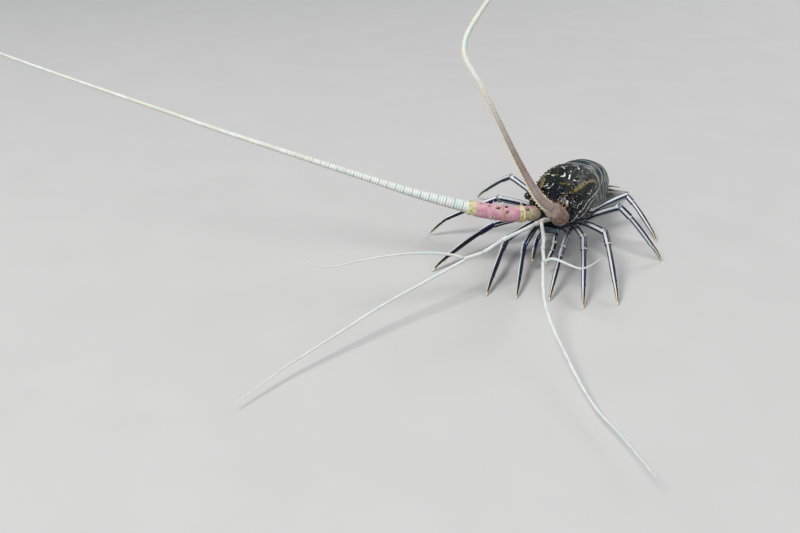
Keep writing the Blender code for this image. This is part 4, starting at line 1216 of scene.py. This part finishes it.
WHIP_RADII = {
    "right": (
        (0.0, 0.070),
        (0.03, 0.064),
        (0.09, 0.052),
        (0.16, 0.041),
        (0.20, 0.037),
        (0.31, 0.031),
        (0.51, 0.0235),
        (0.71, 0.0195),
        (0.90, 0.015),
        (1.0, 0.006),
    ),
    "left": (
        (0.0, 0.064),
        (0.04, 0.054),
        (0.10, 0.043),
        (0.17, 0.037),
        (0.25, 0.032),
        (0.45, 0.028),
        (0.60, 0.026),
        (0.80, 0.020),
        (1.0, 0.006),
    ),
}


def ringed(places, radii, spacing, waist=0.90):
    """Path and radii of a feeler made of short rings, each with a waist at its root."""
    length = sum((Vector(b) - Vector(a)).length for a, b in zip(places, places[1:]))
    count = max(int(length / spacing), 8)
    axes_path = smooth_path(places, count * 4)
    path = []
    sizes = []
    shares = []
    for k in range(count):
        for part, factor in ((0, waist), (1, 1.00), (3, 1.02)):
            i = k * 4 + part
            path.append(axes_path[i])
            sizes.append(max(smooth_value(radii, i / (count * 4)), 0.002) * factor)
            shares.append(k + part / 4)
    path.append(axes_path[-1])
    sizes.append(sizes[-1] * 0.3)
    shares.append(float(count))
    return path, sizes, shares


# Each whip's comb bristles stand at right angles to this way, with the ringed front between them
COMB_FACING = Vector((0.39, -0.79, 0.47))
# Share of the whip that carries bristles
COMB_END = 0.72


def build_whips(sizes):
    finish = finish_named("ringed_antenna", make_whip_finish)
    comb_finish = finish_named("whip_comb", make_thorn_finish, "cream", "butter", "white")
    for side in SIDES:
        shape = new_shape()
        shaded = shape.verts.layers.float["shaded"]
        parts = shape.verts.layers.float["part"]
        waist = 0.90 if side == "right" else 0.95
        path, radii, shares = ringed(WHIPS[side], WHIP_RADII[side], sizes.whip_ring_spacing, waist)
        run = shape.verts.layers.float_vector["run"]
        draw_limbs(shape, 16, [Limb(path, radii, COMB_FACING, 0.0, shares)])
        total = shares[-1]
        for vert in shape.verts:
            vert[parts] = vert[run].x / total
            # The left whip is marked shaded, so its finish paints it in shade colours.
            vert[shaded] = 1.0 if side == "left" else 0.0
        combs = []
        for i in range(3, len(path) - 1, 3):
            along = shares[i] / total
            if along > COMB_END:
                break
            ahead = (path[i + 1] - path[i]).normalized()
            square = (COMB_FACING - ahead * COMB_FACING.dot(ahead)).normalized()
            across = ahead.cross(square)
            size = radii[i]
            for sign in (-1, 1):
                root = path[i + 1] + across * sign * size * 0.95
                way = across * sign * 0.55 + ahead
                length = 0.016 + size * 0.22
                combs.append(thorn(root, way, length, length * 0.28, 0.004, 0.0, along))
        nodes = [f"antenna_{side}_whip_{n}" for n in (1, 2, 3)]
        set_piece(f"antenna_{side}_whip", shape, finish, nodes, 1)
        limb_piece(f"antenna_{side}_comb", 5, combs, comb_finish)


# Joints of each antennule's stalk
ANTENNULE = {
    "right": (
        (-0.034, -0.45, 0.535),
        (-0.091, -0.680, 0.547),
        (-0.31, -1.19, 0.52),
        (-0.42, -1.47, 0.47),
        (-0.56, -1.72, 0.47),
    ),
    "left": (
        (0.034, -0.45, 0.545),
        (-0.035, -0.664, 0.586),
        (0.13, -1.07, 0.57),
        (0.19, -1.30, 0.57),
        (0.30, -1.60, 0.58),
    ),
}
# Radius of each segment of an antennule's stalk, and of its feelers by share of their length
ANTENNULE_RADII = (0.028, 0.024, 0.022, 0.021)
LONG_RADII = ((0.0, 0.018), (0.5, 0.014), (1.0, 0.005))
SHORT_RADII = ((0.0, 0.016), (0.5, 0.011), (1.0, 0.005))
# The ways of the long and the short feelers
FEELER_LONG = {
    "right": (
        (-0.56, -1.72, 0.47),
        (-0.80, -2.24, 0.38),
        (-1.03, -2.73, 0.30),
        (-1.27, -3.36, 0.20),
        (-1.46, -3.90, 0.13),
        (-1.55, -4.28, 0.09),
        (-1.60, -4.52, 0.08),
    ),
    "left": (
        (0.30, -1.60, 0.58),
        (0.46, -2.04, 0.41),
        (0.66, -2.37, 0.30),
        (0.88, -2.66, 0.23),
        (1.06, -2.90, 0.18),
        (1.33, -3.23, 0.14),
        (1.62, -3.52, 0.15),
        (1.99, -3.96, 0.20),
    ),
}
FEELER_SHORT = {
    "right": (
        (-0.56, -1.72, 0.47),
        (-0.68, -1.81, 0.53),
        (-0.89, -1.99, 0.59),
        (-1.13, -2.22, 0.62),
        (-1.39, -2.51, 0.63),
        (-1.62, -2.78, 0.63),
        (-1.83, -2.95, 0.72),
    ),
    "left": (
        (0.30, -1.60, 0.58),
        (0.39, -1.64, 0.65),
        (0.49, -1.70, 0.68),
        (0.62, -1.78, 0.70),
        (0.75, -1.86, 0.73),
        (0.85, -1.92, 0.81),
        (0.97, -1.99, 0.96),
    ),
}


def build_antennules(sizes):
    finish = finish_named("ringed_feeler", make_feeler_finish)
    for side in SIDES:
        joints = [Vector(place) for place in ANTENNULE[side]]
        shape = new_shape()
        bones = []
        for n, size in enumerate(ANTENNULE_RADII):
            radii = (size, size * 0.88, size * 1.03)
            start, end = joints[n], joints[n + 1]
            inside = start - (end - start).normalized() * 0.015 if n else start
            bones.append(bone(inside, end, radii, UP, float(n), collar=0.3))
        draw_limbs(shape, 16, bones)
        part = shape.verts.layers.float["part"]
        shaded = shape.verts.layers.float["shaded"]
        for vert in shape.verts:
            vert[shaded] = 1.0 if vert[part] < 0.5 else 0.0
        base = f"antennule_{side}_base"
        set_piece(f"antennule_{side}_stalk", shape, finish, [base], 1)
        shift = Vector((side_sign(side) * 0.012, 0, 0.014))
        for name, way, knots, offset in (
            ("long", FEELER_LONG[side], LONG_RADII, -shift),
            ("short", FEELER_SHORT[side], SHORT_RADII, shift),
        ):
            path, radii, shares = ringed(way, knots, sizes.feeler_ring_spacing, 0.97)
            total = shares[-1]
            path = [point + offset * (1 - share / total) ** 6 for point, share in zip(path, shares)]
            feeler = Limb(path, radii, UP, 0.0, shares, carry=True)
            node = f"antennule_{side}_{name}"
            limb_piece(f"{node}_feeler", 10, [feeler], finish, [node])


# Radii of each leg segment at its root, middle and end, from the hip to the claw
LEG_PARTS = (
    (0.050, 0.052, 0.046),
    (0.037, 0.037, 0.037),
    (0.034, 0.0385, 0.0385),
    (0.035, 0.037, 0.036),
    (0.029, 0.030, 0.0255),
    (0.0225, 0.0170, 0.0060),
)


# Hips of the first pair, and the step to each next pair
HIP_HALF_WIDTH = 0.10
HIP_WIDENING = 0.022
HIP_FRONT = -0.16
HIP_SPACING = 0.140
HIP_HEIGHT = 0.335
COXA_LENGTH = 0.13
# Where the joints beyond the coxa and beyond the knee lie, as shares of the way
BASIS_SHARE = 0.14
CARPUS_SHARE = 0.22
CARPUS_BOW = 0.030
ANKLE_SHARE = 0.74
TOE_HEIGHT = 0.004
# Bands of soft skin at the joints: joint and radius, then their form along the limb
JOINT_SKINS = ((3, 0.034), (4, 0.030), (5, 0.022), (2, 0.034))
SKIN_FORM = ((-0.022, 0.7), (-0.010, 0.96), (0.010, 0.96), (0.022, 0.7))


def leg_joints(side, number):
    """The joints of a leg from the hip to the toe."""
    sign = side_sign(side)
    half_width = HIP_HALF_WIDTH + HIP_WIDENING * number
    hip = Vector((sign * half_width, HIP_FRONT + HIP_SPACING * number, HIP_HEIGHT))
    knee = Vector(KNEES[side][number])
    toe = Vector((*TOES[side][number], TOE_HEIGHT))
    level = Vector((knee.x - hip.x, knee.y - hip.y, 0)).normalized()
    outward = (level + Vector((sign * 0.8, 0, 0))).normalized()
    coxa = hip + outward * COXA_LENGTH
    carpus = knee.lerp(toe, CARPUS_SHARE) + UP * CARPUS_BOW
    ankle = knee.lerp(toe, ANKLE_SHARE) + UP * ANKLE_BOWS[side][number]
    return hip, coxa, coxa.lerp(knee, BASIS_SHARE), knee, carpus, ankle, toe


def build_legs(sizes):
    chance = random.Random(sizes.seed + 9)
    finish = finish_named("lined_leg", make_leg_finish)
    joint_finish = finish_named("joint_skin", make_joint_finish)
    bristle = finish_named("bristle", make_thorn_finish, "tan", "cream", "tan")
    for side in SIDES:
        up = LINE_SIDE[side]
        turned = -side_sign(side)
        for number in range(5):
            joints = leg_joints(side, number)
            stout = LEG_STOUTNESS[number]
            for half, parts in (("upper", (0, 1, 2)), ("lower", (3, 4, 5))):
                shape = new_shape()
                for part in parts:
                    start, end = joints[part], joints[part + 1]
                    radii = tuple(size * stout for size in LEG_PARTS[part])
                    if part not in (0, 3):
                        start = start - (end - start).normalized() * radii[0] * 0.5
                    if part == 5:
                        draw_limbs(shape, 16, [claw(start, end, radii, up, turned)])
                        continue
                    bow = 0.010 if part in (2, 4) else 0.0
                    draw_limbs(shape, 20, [bone(start, end, radii, up, float(part), bow, turned)])
                    if part == 2:
                        line = (end - start).normalized()
                        crest = start.lerp(end, 0.93) + UP * radii[2] * 0.9
                        draw_limbs(shape, 8, [thorn(crest, line + UP * 0.5, 0.050, 0.013, 0.014, part=2.0)])
                node = f"leg_{side}_{number + 1}_{half}"
                set_piece(f"{node}_shell", shape, finish, [node], 1)
            skins = []
            for k, size in JOINT_SKINS:
                line = (joints[k + 1] - joints[k - 1]).normalized()
                path = [joints[k] + line * offset for offset, factor in SKIN_FORM]
                skins.append(Limb(path, [size * stout * factor for offset, factor in SKIN_FORM]))
            leg = f"leg_{side}_{number + 1}"
            limb_piece(f"{leg}_joints", 14, skins, joint_finish, levels=1)
            hairs = []
            ankle, toe = joints[5], joints[6]
            for _ in range(sizes.claw_bristles):
                share = chance.uniform(0.10, 0.80)
                angle = chance.uniform(0, 360)
                reach = 0.020 * (1 - share) + 0.006
                root, out, ahead = round_limb(ankle, toe, reach * 0.8, share, angle, side)
                hairs.append(thorn(root, out * 0.35 + ahead, 0.030, 0.0024, 0.004, 0.0))
            limb_piece(f"{leg}_bristles", 4, hairs, bristle)


def claw(start, end, radii, up, turned):
    """The last leg segment: a slim curved claw drawn to a blunt point."""
    line = end - start
    lift = (UP - line.normalized() * UP.dot(line.normalized())) * 0.018
    shares = [0.0, 0.01, 0.05, 0.15, 0.35, 0.55, 0.75, 0.90, 0.985, 1.0]
    knots = ((0.0, radii[0] * 0.7), (0.05, radii[0]), (0.5, radii[1]), (1.0, radii[2]))
    path = [start + line * share + lift * math.sin(math.pi * share) for share in shares]
    sizes = [smooth_value(knots, share) for share in shares]
    sizes[-1] *= 0.5
    return Limb(path, sizes, up, 5.0, shares, turned=turned)


# Joints of the limbs under the mouth
MAXILLIPED = {
    "right": (
        (-0.065, -0.34, 0.37),
        (-0.085, -0.60, 0.315),
        (-0.070, -0.72, 0.27),
        (-0.060, -0.80, 0.12),
    ),
    "left": (
        (0.065, -0.34, 0.37),
        (0.135, -0.64, 0.315),
        (0.140, -0.72, 0.27),
        (0.105, -0.80, 0.12),
    ),
}


def build_maxillipeds(sizes):
    finish = finish_named("lined_leg", make_leg_finish)
    for side in SIDES:
        joints = [Vector(place) for place in MAXILLIPED[side]]
        up = LINE_SIDE[side]
        turned = -side_sign(side)
        shape = new_shape()
        first = bone(joints[0], joints[1], (0.033, 0.033, 0.031), up, 2.0, turned=turned)
        second = bone(joints[1], joints[2], (0.030, 0.030, 0.028), up, 3.0, turned=turned)
        draw_limbs(shape, 18, [first, second])
        draw_limbs(shape, 18, [claw(joints[2], joints[3], (0.028, 0.022, 0.008), up, turned)])
        node = f"maxilliped_{side}"
        set_piece(f"{node}_shell", shape, finish, [node], 1)


def build_underside(sizes):
    finish = finish_named("slate_underside", make_underside_finish)
    for node in ("thorax_floor", "mouthparts"):
        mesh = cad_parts[node].data
        mesh.materials.clear()
        mesh.materials.append(finish)


def abdomen_frames():
    """Centres and slopes of the seven planes that part the abdomen's rings."""
    centre = Vector(ABDOMEN_START)
    slopes = [math.radians(slope) for slope in SEGMENT_SLOPES]
    frames = [(centre.copy(), slopes[0])]
    for i, (length, slope) in enumerate(zip(SEGMENT_LENGTHS, slopes)):
        centre = centre + Vector((0, math.cos(slope), -math.sin(slope))) * length
        following = slopes[min(i + 1, len(slopes) - 1)]
        frames.append((centre.copy(), (slope + following) / 2))
    return frames


# Size of an abdomen ring along it, from its front edge over its groove to its rear edge
RING_PROFILE = (
    (0.00, 0.930),
    (0.04, 0.955),
    (0.10, 0.975),
    (0.22, 0.990),
    (0.34, 1.000),
    (0.39, 0.985),
    (0.42, 0.975),
    (0.45, 0.988),
    (0.52, 1.008),
    (0.70, 1.015),
    (0.86, 1.020),
    (0.94, 1.022),
    (0.98, 1.010),
    (1.00, 0.985),
)


def build_abdomen(sizes):
    finish = finish_named("banded_abdomen", make_abdomen_finish)
    frames = abdomen_frames()
    for i in range(6):
        (start, slope0), (end, slope1) = frames[i], frames[i + 1]

        def mould(share, angle):
            factor = smooth_value(RING_PROFILE, share)
            tables = (SEGMENT_HALF_WIDTHS, SEGMENT_HEIGHTS, SEGMENT_DEPTHS)
            half_width, top, bottom = [
                (table[i] + (table[i + 1] - table[i]) * share) * factor for table in tables
            ]
            x, z = arch(angle, top, bottom)
            centre = start.lerp(end, share)
            centre.z += 0.012 * math.sin(math.pi * share)
            slope = slope0 + (slope1 - slope0) * share
            return centre + Matrix.Rotation(-slope, 3, "X") @ Vector((x * half_width, 0, z))

        shape = new_shape()
        places = [k / 26 for k in range(27)]
        draw_drum(shape, 96, places, mould)
        back = Vector((0, math.cos(slope1), -math.sin(slope1)))
        for side in SIDES:
            sign = side_sign(side)
            if i < len(PLEURON_LENGTHS):
                length = PLEURON_LENGTHS[i]
                root = start.lerp(end, 0.42) + Vector((sign * SEGMENT_HALF_WIDTHS[i] * 0.86, 0, -0.02))
                ways = [
                    root + Vector((0, 0, 0.02)),
                    root + Vector((sign * 0.020, 0, -0.075)) + back * 0.005,
                    root + Vector((sign * 0.030, 0, -0.080 - length * 0.45)) + back * 0.035,
                    root + Vector((sign * 0.022, 0, -0.080 - length)) + back * 0.100,
                ]
                path = smooth_path([tuple(way) for way in ways], 12)
                knots = ((0.0, 0.070), (0.35, 0.080), (0.65, 0.052), (0.88, 0.018), (1.0, 0.004))
                radii = []
                for k in range(13):
                    wide = smooth_value(knots, k / 12)
                    radii.append((wide, min(0.022, wide * 0.9)))
                draw_limbs(shape, 20, [Limb(path, radii, Vector((sign, 0, 0)), 1.0)])
                teeth = []
                for k in (7, 9):
                    root = path[k] + back * radii[k][0] * 0.8
                    teeth.append(thorn(root, back + Vector((0, 0, -0.5)), 0.024, 0.007, 0.010, 0.0, 1.0))
                draw_limbs(shape, 6, teeth)
        node = f"abdomen_{i + 1}"
        set_piece(f"{node}_shell", shape, finish, [node])


def build_pleopods(sizes):
    finish = finish_named("paddle", make_paddle_finish)
    frames = abdomen_frames()
    for i in PLEOPOD_RINGS:
        shape = new_shape()
        for side in SIDES:
            sign = side_sign(side)
            middle = frames[i][0].lerp(frames[i + 1][0], 0.40)
            root = middle + Vector((sign * 0.115, 0, -SEGMENT_DEPTHS[i] * 0.80))
            ways = [
                root + Vector((0, 0, 0.02)),
                root + Vector((sign * 0.006, 0.012, -0.050)),
                root + Vector((sign * 0.010, 0.050, -0.095)),
                root + Vector((sign * 0.008, 0.085, -0.125)),
            ]
            path = smooth_path([tuple(way) for way in ways], 12)
            knots = ((0.0, 0.024), (0.35, 0.046), (0.70, 0.050), (0.92, 0.030), (1.0, 0.008))
            radii = [(smooth_value(knots, k / 12), 0.007) for k in range(13)]
            draw_limbs(shape, 16, [Limb(path, radii, Vector((0, 1, 0)))])
        set_piece(f"pleopods_{i + 1}", shape, finish, levels=1)


# Plates of the tail fan: root from the abdomen's end, heading in degrees, length, half width
TAIL_PLATES = (
    ("telson", (0, -0.05, 0.036), 0, 0.47, 0.135),
    ("tail_left_inner", (0.075, -0.05, -0.012), 24, 0.46, 0.120),
    ("tail_left_outer", (0.105, -0.05, -0.060), 52, 0.4508, 0.120),
    ("tail_right_inner", (-0.075, -0.05, -0.012), -24, 0.46, 0.120),
    ("tail_right_outer", (-0.105, -0.05, -0.060), -52, 0.4508, 0.120),
)
ROOT_THICKNESS = 0.040
EDGE_THICKNESS = 0.012


def build_tail(sizes):
    finish = finish_named("rayed_tail", make_tail_finish)
    end = abdomen_frames()[-1][0]
    tilt = Matrix.Rotation(-math.radians(TAIL_SLOPE), 3, "X")
    for name, place, heading, length, half_width in TAIL_PLATES:
        root = end + Vector(place)
        turn = tilt @ Matrix.Rotation(-math.radians(heading), 3, "Z")

        def mould(share, angle):
            across = math.cos(angle)
            over = math.sin(angle)
            width = half_width * smooth_value(TAIL_OUTLINE, share)
            thick = ROOT_THICKNESS + (EDGE_THICKNESS - ROOT_THICKNESS) * min(share * 1.6, 1)
            x = width * across
            ridge = 0.0035 * (0.5 + 0.5 * math.cos(across * math.pi * 4)) * min(share * 4, 1)
            z = math.copysign(abs(over) ** 0.45, over) * thick / 2 * (1 - 0.55 * abs(across) ** 3)
            z += ridge if over > 0 else 0.0
            ripple = 0.0012 * math.sin(across * 40) * max(share - 0.4, 0)
            y = length * share * (1 - 0.05 * across * across)
            return root + turn @ Vector((x, y, z + ripple))

        shape = new_shape()
        places = [k / 40 for k in range(38)] + [0.95, 0.97, 0.985, 0.995, 1.0]
        draw_drum(shape, 88, places, mould)
        set_piece(f"{name}_plate", shape, finish, [name])


def aim(obj, target):
    obj.rotation_euler = (Vector(target) - obj.location).to_track_quat("-Z", "Y").to_euler()


def make_floor_finish(name):
    finish = Finish(name)
    grain = finish.noise(14.0, 3.0)
    colour = finish.mix(finish.step(grain, 0.3, 0.7), (0.56, 0.555, 0.545), (0.575, 0.57, 0.56))
    return finish.finish(colour, 0.75)


# Lights: place from the animal's middle in metres, power, size
LIGHTS = (
    ("key", (-0.85, -1.70, 2.70), 88.0, 1.2),
    ("fill", (2.3, -1.3, 1.4), 18.0, 1.6),
    ("rim", (0.8, 2.2, 1.7), 26.0, 1.2),
)
# The sky's colour and strength
SKY = ((0.90, 0.94, 1.0, 1), 0.26)
FLOOR_RADIUS = 6.0
FLOOR_DROP = 0.0002


def build_stage(sizes):
    floor_shape = bmesh.new()
    bmesh.ops.create_circle(floor_shape, cap_ends=True, segments=96, radius=FLOOR_RADIUS)
    mesh = bpy.data.meshes.new("floor")
    floor_shape.to_mesh(mesh)
    floor_shape.free()
    mesh.materials.append(make_floor_finish("floor"))
    floor = bpy.data.objects.new("floor", mesh)
    floor.location.z = -FLOOR_DROP
    bpy.context.scene.collection.objects.link(floor)
    world = bpy.data.worlds.new("studio")
    bpy.context.scene.world = world
    world.use_nodes = True
    for key, value in enumerate(SKY):
        world.node_tree.nodes["Background"].inputs[key].default_value = value
    bpy.context.scene.view_settings.view_transform = "Standard"
    middle = home() + Vector((-0.02, -0.03, 0.04))
    for name, place, power, size in LIGHTS:
        data = bpy.data.lights.new(name, "AREA")
        data.energy = power
        data.size = size
        lamp = bpy.data.objects.new(name, data)
        lamp.location = middle + Vector(place)
        aim(lamp, middle)
        bpy.context.scene.collection.objects.link(lamp)
    build_camera(sizes)


# The photograph's viewpoint: place in carapace lengths, angles in degrees, millimetres
CAMERA_PLACE = (2.46788, -9.42089, 4.77323)
CAMERA_AZIMUTH = 26.23
CAMERA_ELEVATION = 28.06
CAMERA_LENS = 38.61
CAMERA_SENSOR = 36.0


def build_camera(sizes):
    data = bpy.data.cameras.new("camera")
    data.lens = CAMERA_LENS
    data.sensor_width = CAMERA_SENSOR
    data.clip_start = 0.01
    data.clip_end = 30.0
    camera = bpy.data.objects.new("camera", data)
    camera.location = home() + Vector(CAMERA_PLACE) * sizes.carapace_length
    azimuth = math.radians(CAMERA_AZIMUTH)
    elevation = math.radians(CAMERA_ELEVATION)
    back = Vector(
        (
            math.sin(azimuth) * math.cos(elevation),
            -math.cos(azimuth) * math.cos(elevation),
            math.sin(elevation),
        )
    )
    camera.rotation_euler = back.to_track_quat("Z", "Y").to_euler()
    bpy.context.scene.collection.objects.link(camera)
    bpy.context.scene.camera = camera


class LobsterSizes(bpy.types.PropertyGroup):
    """Sizes and counts that a user would change"""

    carapace_length: bpy.props.FloatProperty(
        name="Carapace length",
        description="Length of the carapace, which sets the scale of every piece",
        default=0.070,
        min=0.02,
        max=0.2,
        unit="LENGTH",
    )
    carapace_sides: bpy.props.IntProperty(
        name="Carapace columns",
        description="Columns of faces round the carapace",
        default=220,
        min=48,
        max=400,
    )
    carapace_rings: bpy.props.IntProperty(
        name="Carapace rings",
        description="Rings of faces along the carapace",
        default=130,
        min=30,
        max=260,
    )
    carapace_thorns: bpy.props.IntProperty(
        name="Carapace thorns",
        description="Thorns on the carapace, great and small",
        default=420,
        min=68,
        max=900,
    )
    whip_ring_spacing: bpy.props.FloatProperty(
        name="Whip ring spacing",
        description="Length of one ring of an antenna, in carapace lengths",
        default=0.033,
        min=0.01,
        max=0.2,
    )
    feeler_ring_spacing: bpy.props.FloatProperty(
        name="Feeler ring spacing",
        description="Length of one ring of an antennule, in carapace lengths",
        default=0.024,
        min=0.01,
        max=0.2,
    )
    claw_bristles: bpy.props.IntProperty(
        name="Claw bristles",
        description="Bristles round each claw",
        default=26,
        min=0,
        max=200,
    )
    seed: bpy.props.IntProperty(name="Seed", description="Seed of every scattered place", default=7, min=0)


def colour_property(name, description, default):
    return bpy.props.FloatVectorProperty(
        name=name, description=description, default=default, size=3, min=0.0, max=1.0, subtype="COLOR"
    )


class LobsterColours(bpy.types.PropertyGroup):
    """Colours of the shell and its markings"""

    navy: colour_property("Navy", "Near-black ground of shell and legs", (0.0022, 0.0036, 0.0100))
    blue: colour_property("Blue", "Deep blue that shows on the legs", (0.0055, 0.0120, 0.0700))
    deep_green: colour_property("Deep green", "Near-black green of the shell", (0.0032, 0.0085, 0.0078))
    sea_green: colour_property("Sea green", "Green of the abdomen and tail fan", (0.0090, 0.0380, 0.0370))
    mustard: colour_property("Mustard", "Front part of the flank bands", (0.34, 0.25, 0.050))
    sand: colour_property("Sand", "Rear part of the flank bands", (0.42, 0.38, 0.24))
    white: colour_property("White", "White lines and bands", (0.80, 0.80, 0.76))
    pale_blue: colour_property("Pale blue", "Thin lines and small dots", (0.42, 0.52, 0.62))
    ice: colour_property("Ice", "Cool white of the antennae", (0.62, 0.74, 0.72))
    cream: colour_property("Cream", "Cream marks and collars", (0.72, 0.64, 0.40))
    # Butter also paints the highlight along the left antenna's lit edge.
    butter: colour_property("Butter", "Yellow edge of the left antenna", (0.82, 0.70, 0.42))
    olive: colour_property("Olive", "Olive flecks in the bands", (0.12, 0.095, 0.025))
    tan: colour_property("Tan", "Claw tips, joints and thorn tips", (0.46, 0.30, 0.16))
    orange: colour_property("Orange", "Flecks beside the antennae", (0.55, 0.22, 0.04))
    lime: colour_property("Lime", "Green tint of the antenna collars", (0.40, 0.46, 0.14))
    pink: colour_property("Pink", "Antenna peduncles", (0.58, 0.24, 0.34))
    light_pink: colour_property("Light pink", "Antenna peduncles where lightest", (0.74, 0.43, 0.52))
    # Painted shade: the darker copy of the peduncle pink, for the left antenna.
    rose: colour_property("Rose", "Left peduncle where lightest", (0.27, 0.15, 0.11))
    # Red-brown also paints shade on the left antenna.
    red_brown: colour_property("Red-brown", "Undersides of the peduncles", (0.22, 0.070, 0.055))
    # Painted shade: near-black brown of the left antenna's shaded base.
    umber: colour_property("Umber", "Base of the left antenna", (0.045, 0.032, 0.028))
    maroon: colour_property("Maroon", "Spots round the peduncle thorns", (0.020, 0.004, 0.007))
    taupe: colour_property("Taupe", "Shaded side of the left antenna", (0.22, 0.17, 0.14))
    grey_pink: colour_property(
        "Grey-pink", "Shaded side of the left antenna where lightest", (0.29, 0.22, 0.20)
    )
    ring_grey: colour_property("Ring grey", "Thin dark rings of the antennae", (0.10, 0.085, 0.075))
    slate: colour_property("Slate", "Underside of the body", (0.10, 0.14, 0.17))


class BuildPiece:
    """What the piece operators share: they run one builder on the scene's sizes"""

    bl_options = {"REGISTER", "UNDO"}

    def execute(self, context):
        type(self).builder(context.scene.lobster_sizes)
        return {"FINISHED"}


def piece_operator(builder, label, text):
    """The operator that runs a builder, named after it."""
    key = builder.__name__.removeprefix("build_")
    members = {
        "bl_idname": f"lobster.{key}",
        "bl_label": label,
        "__doc__": text,
        "builder": staticmethod(builder),
    }
    return type(f"LOBSTER_OT_{key}", (BuildPiece, bpy.types.Operator), members)


PIECES = (
    (build_carapace, "Carapace", "Build the carapace with its groove and markings"),
    (build_carapace_thorns, "Carapace thorns", "Build the carapace's thorns"),
    (build_horns, "Horns", "Build the two horns over the eyes"),
    (build_eyes, "Eyes", "Build the stalked eyes"),
    (build_antennular_plate, "Antennular plate", "Build the spined plate between the antennae"),
    (build_peduncles, "Peduncles", "Build the thorny stalks of the antennae"),
    (build_whips, "Whips", "Build the long ringed antennae"),
    (build_antennules, "Antennules", "Build the forked feelers"),
    (build_legs, "Legs", "Build the ten walking legs"),
    (build_maxillipeds, "Maxillipeds", "Build the pair of limbs under the mouth"),
    (build_underside, "Underside", "Finish the thorax floor and the mouthparts"),
    (build_abdomen, "Abdomen", "Build the six banded abdomen rings"),
    (build_pleopods, "Pleopods", "Build the paddles under the abdomen"),
    (build_tail, "Tail fan", "Build the five plates of the tail fan"),
    (build_stage, "Stage", "Build the floor, the lights and the camera"),
)


OPERATORS = tuple(piece_operator(*piece) for piece in PIECES)


class LOBSTER_PT_pieces(bpy.types.Panel):
    """Lists the lobster's sizes, colours and pieces"""

    bl_label = "Spiny lobster"
    bl_space_type = "VIEW_3D"
    bl_region_type = "UI"
    bl_category = "Lobster"

    def draw(self, context):
        for group in (context.scene.lobster_sizes, context.scene.lobster_colours):
            box = self.layout.box()
            for key in group.__annotations__:
                box.prop(group, key)
        for operator in OPERATORS:
            self.layout.operator(operator.bl_idname)


CLASSES = (LobsterSizes, LobsterColours, *OPERATORS, LOBSTER_PT_pieces)


def register():
    for item in CLASSES:
        bpy.utils.register_class(item)
    bpy.types.Scene.lobster_sizes = bpy.props.PointerProperty(type=LobsterSizes)
    bpy.types.Scene.lobster_colours = bpy.props.PointerProperty(type=LobsterColours)


def unregister():
    del bpy.types.Scene.lobster_colours
    del bpy.types.Scene.lobster_sizes
    for item in reversed(CLASSES):
        bpy.utils.unregister_class(item)


def main():
    register()
    for operator in OPERATORS:
        group, key = operator.bl_idname.split(".")
        getattr(getattr(bpy.ops, group), key)()


if __name__ == "__main__":
    main()
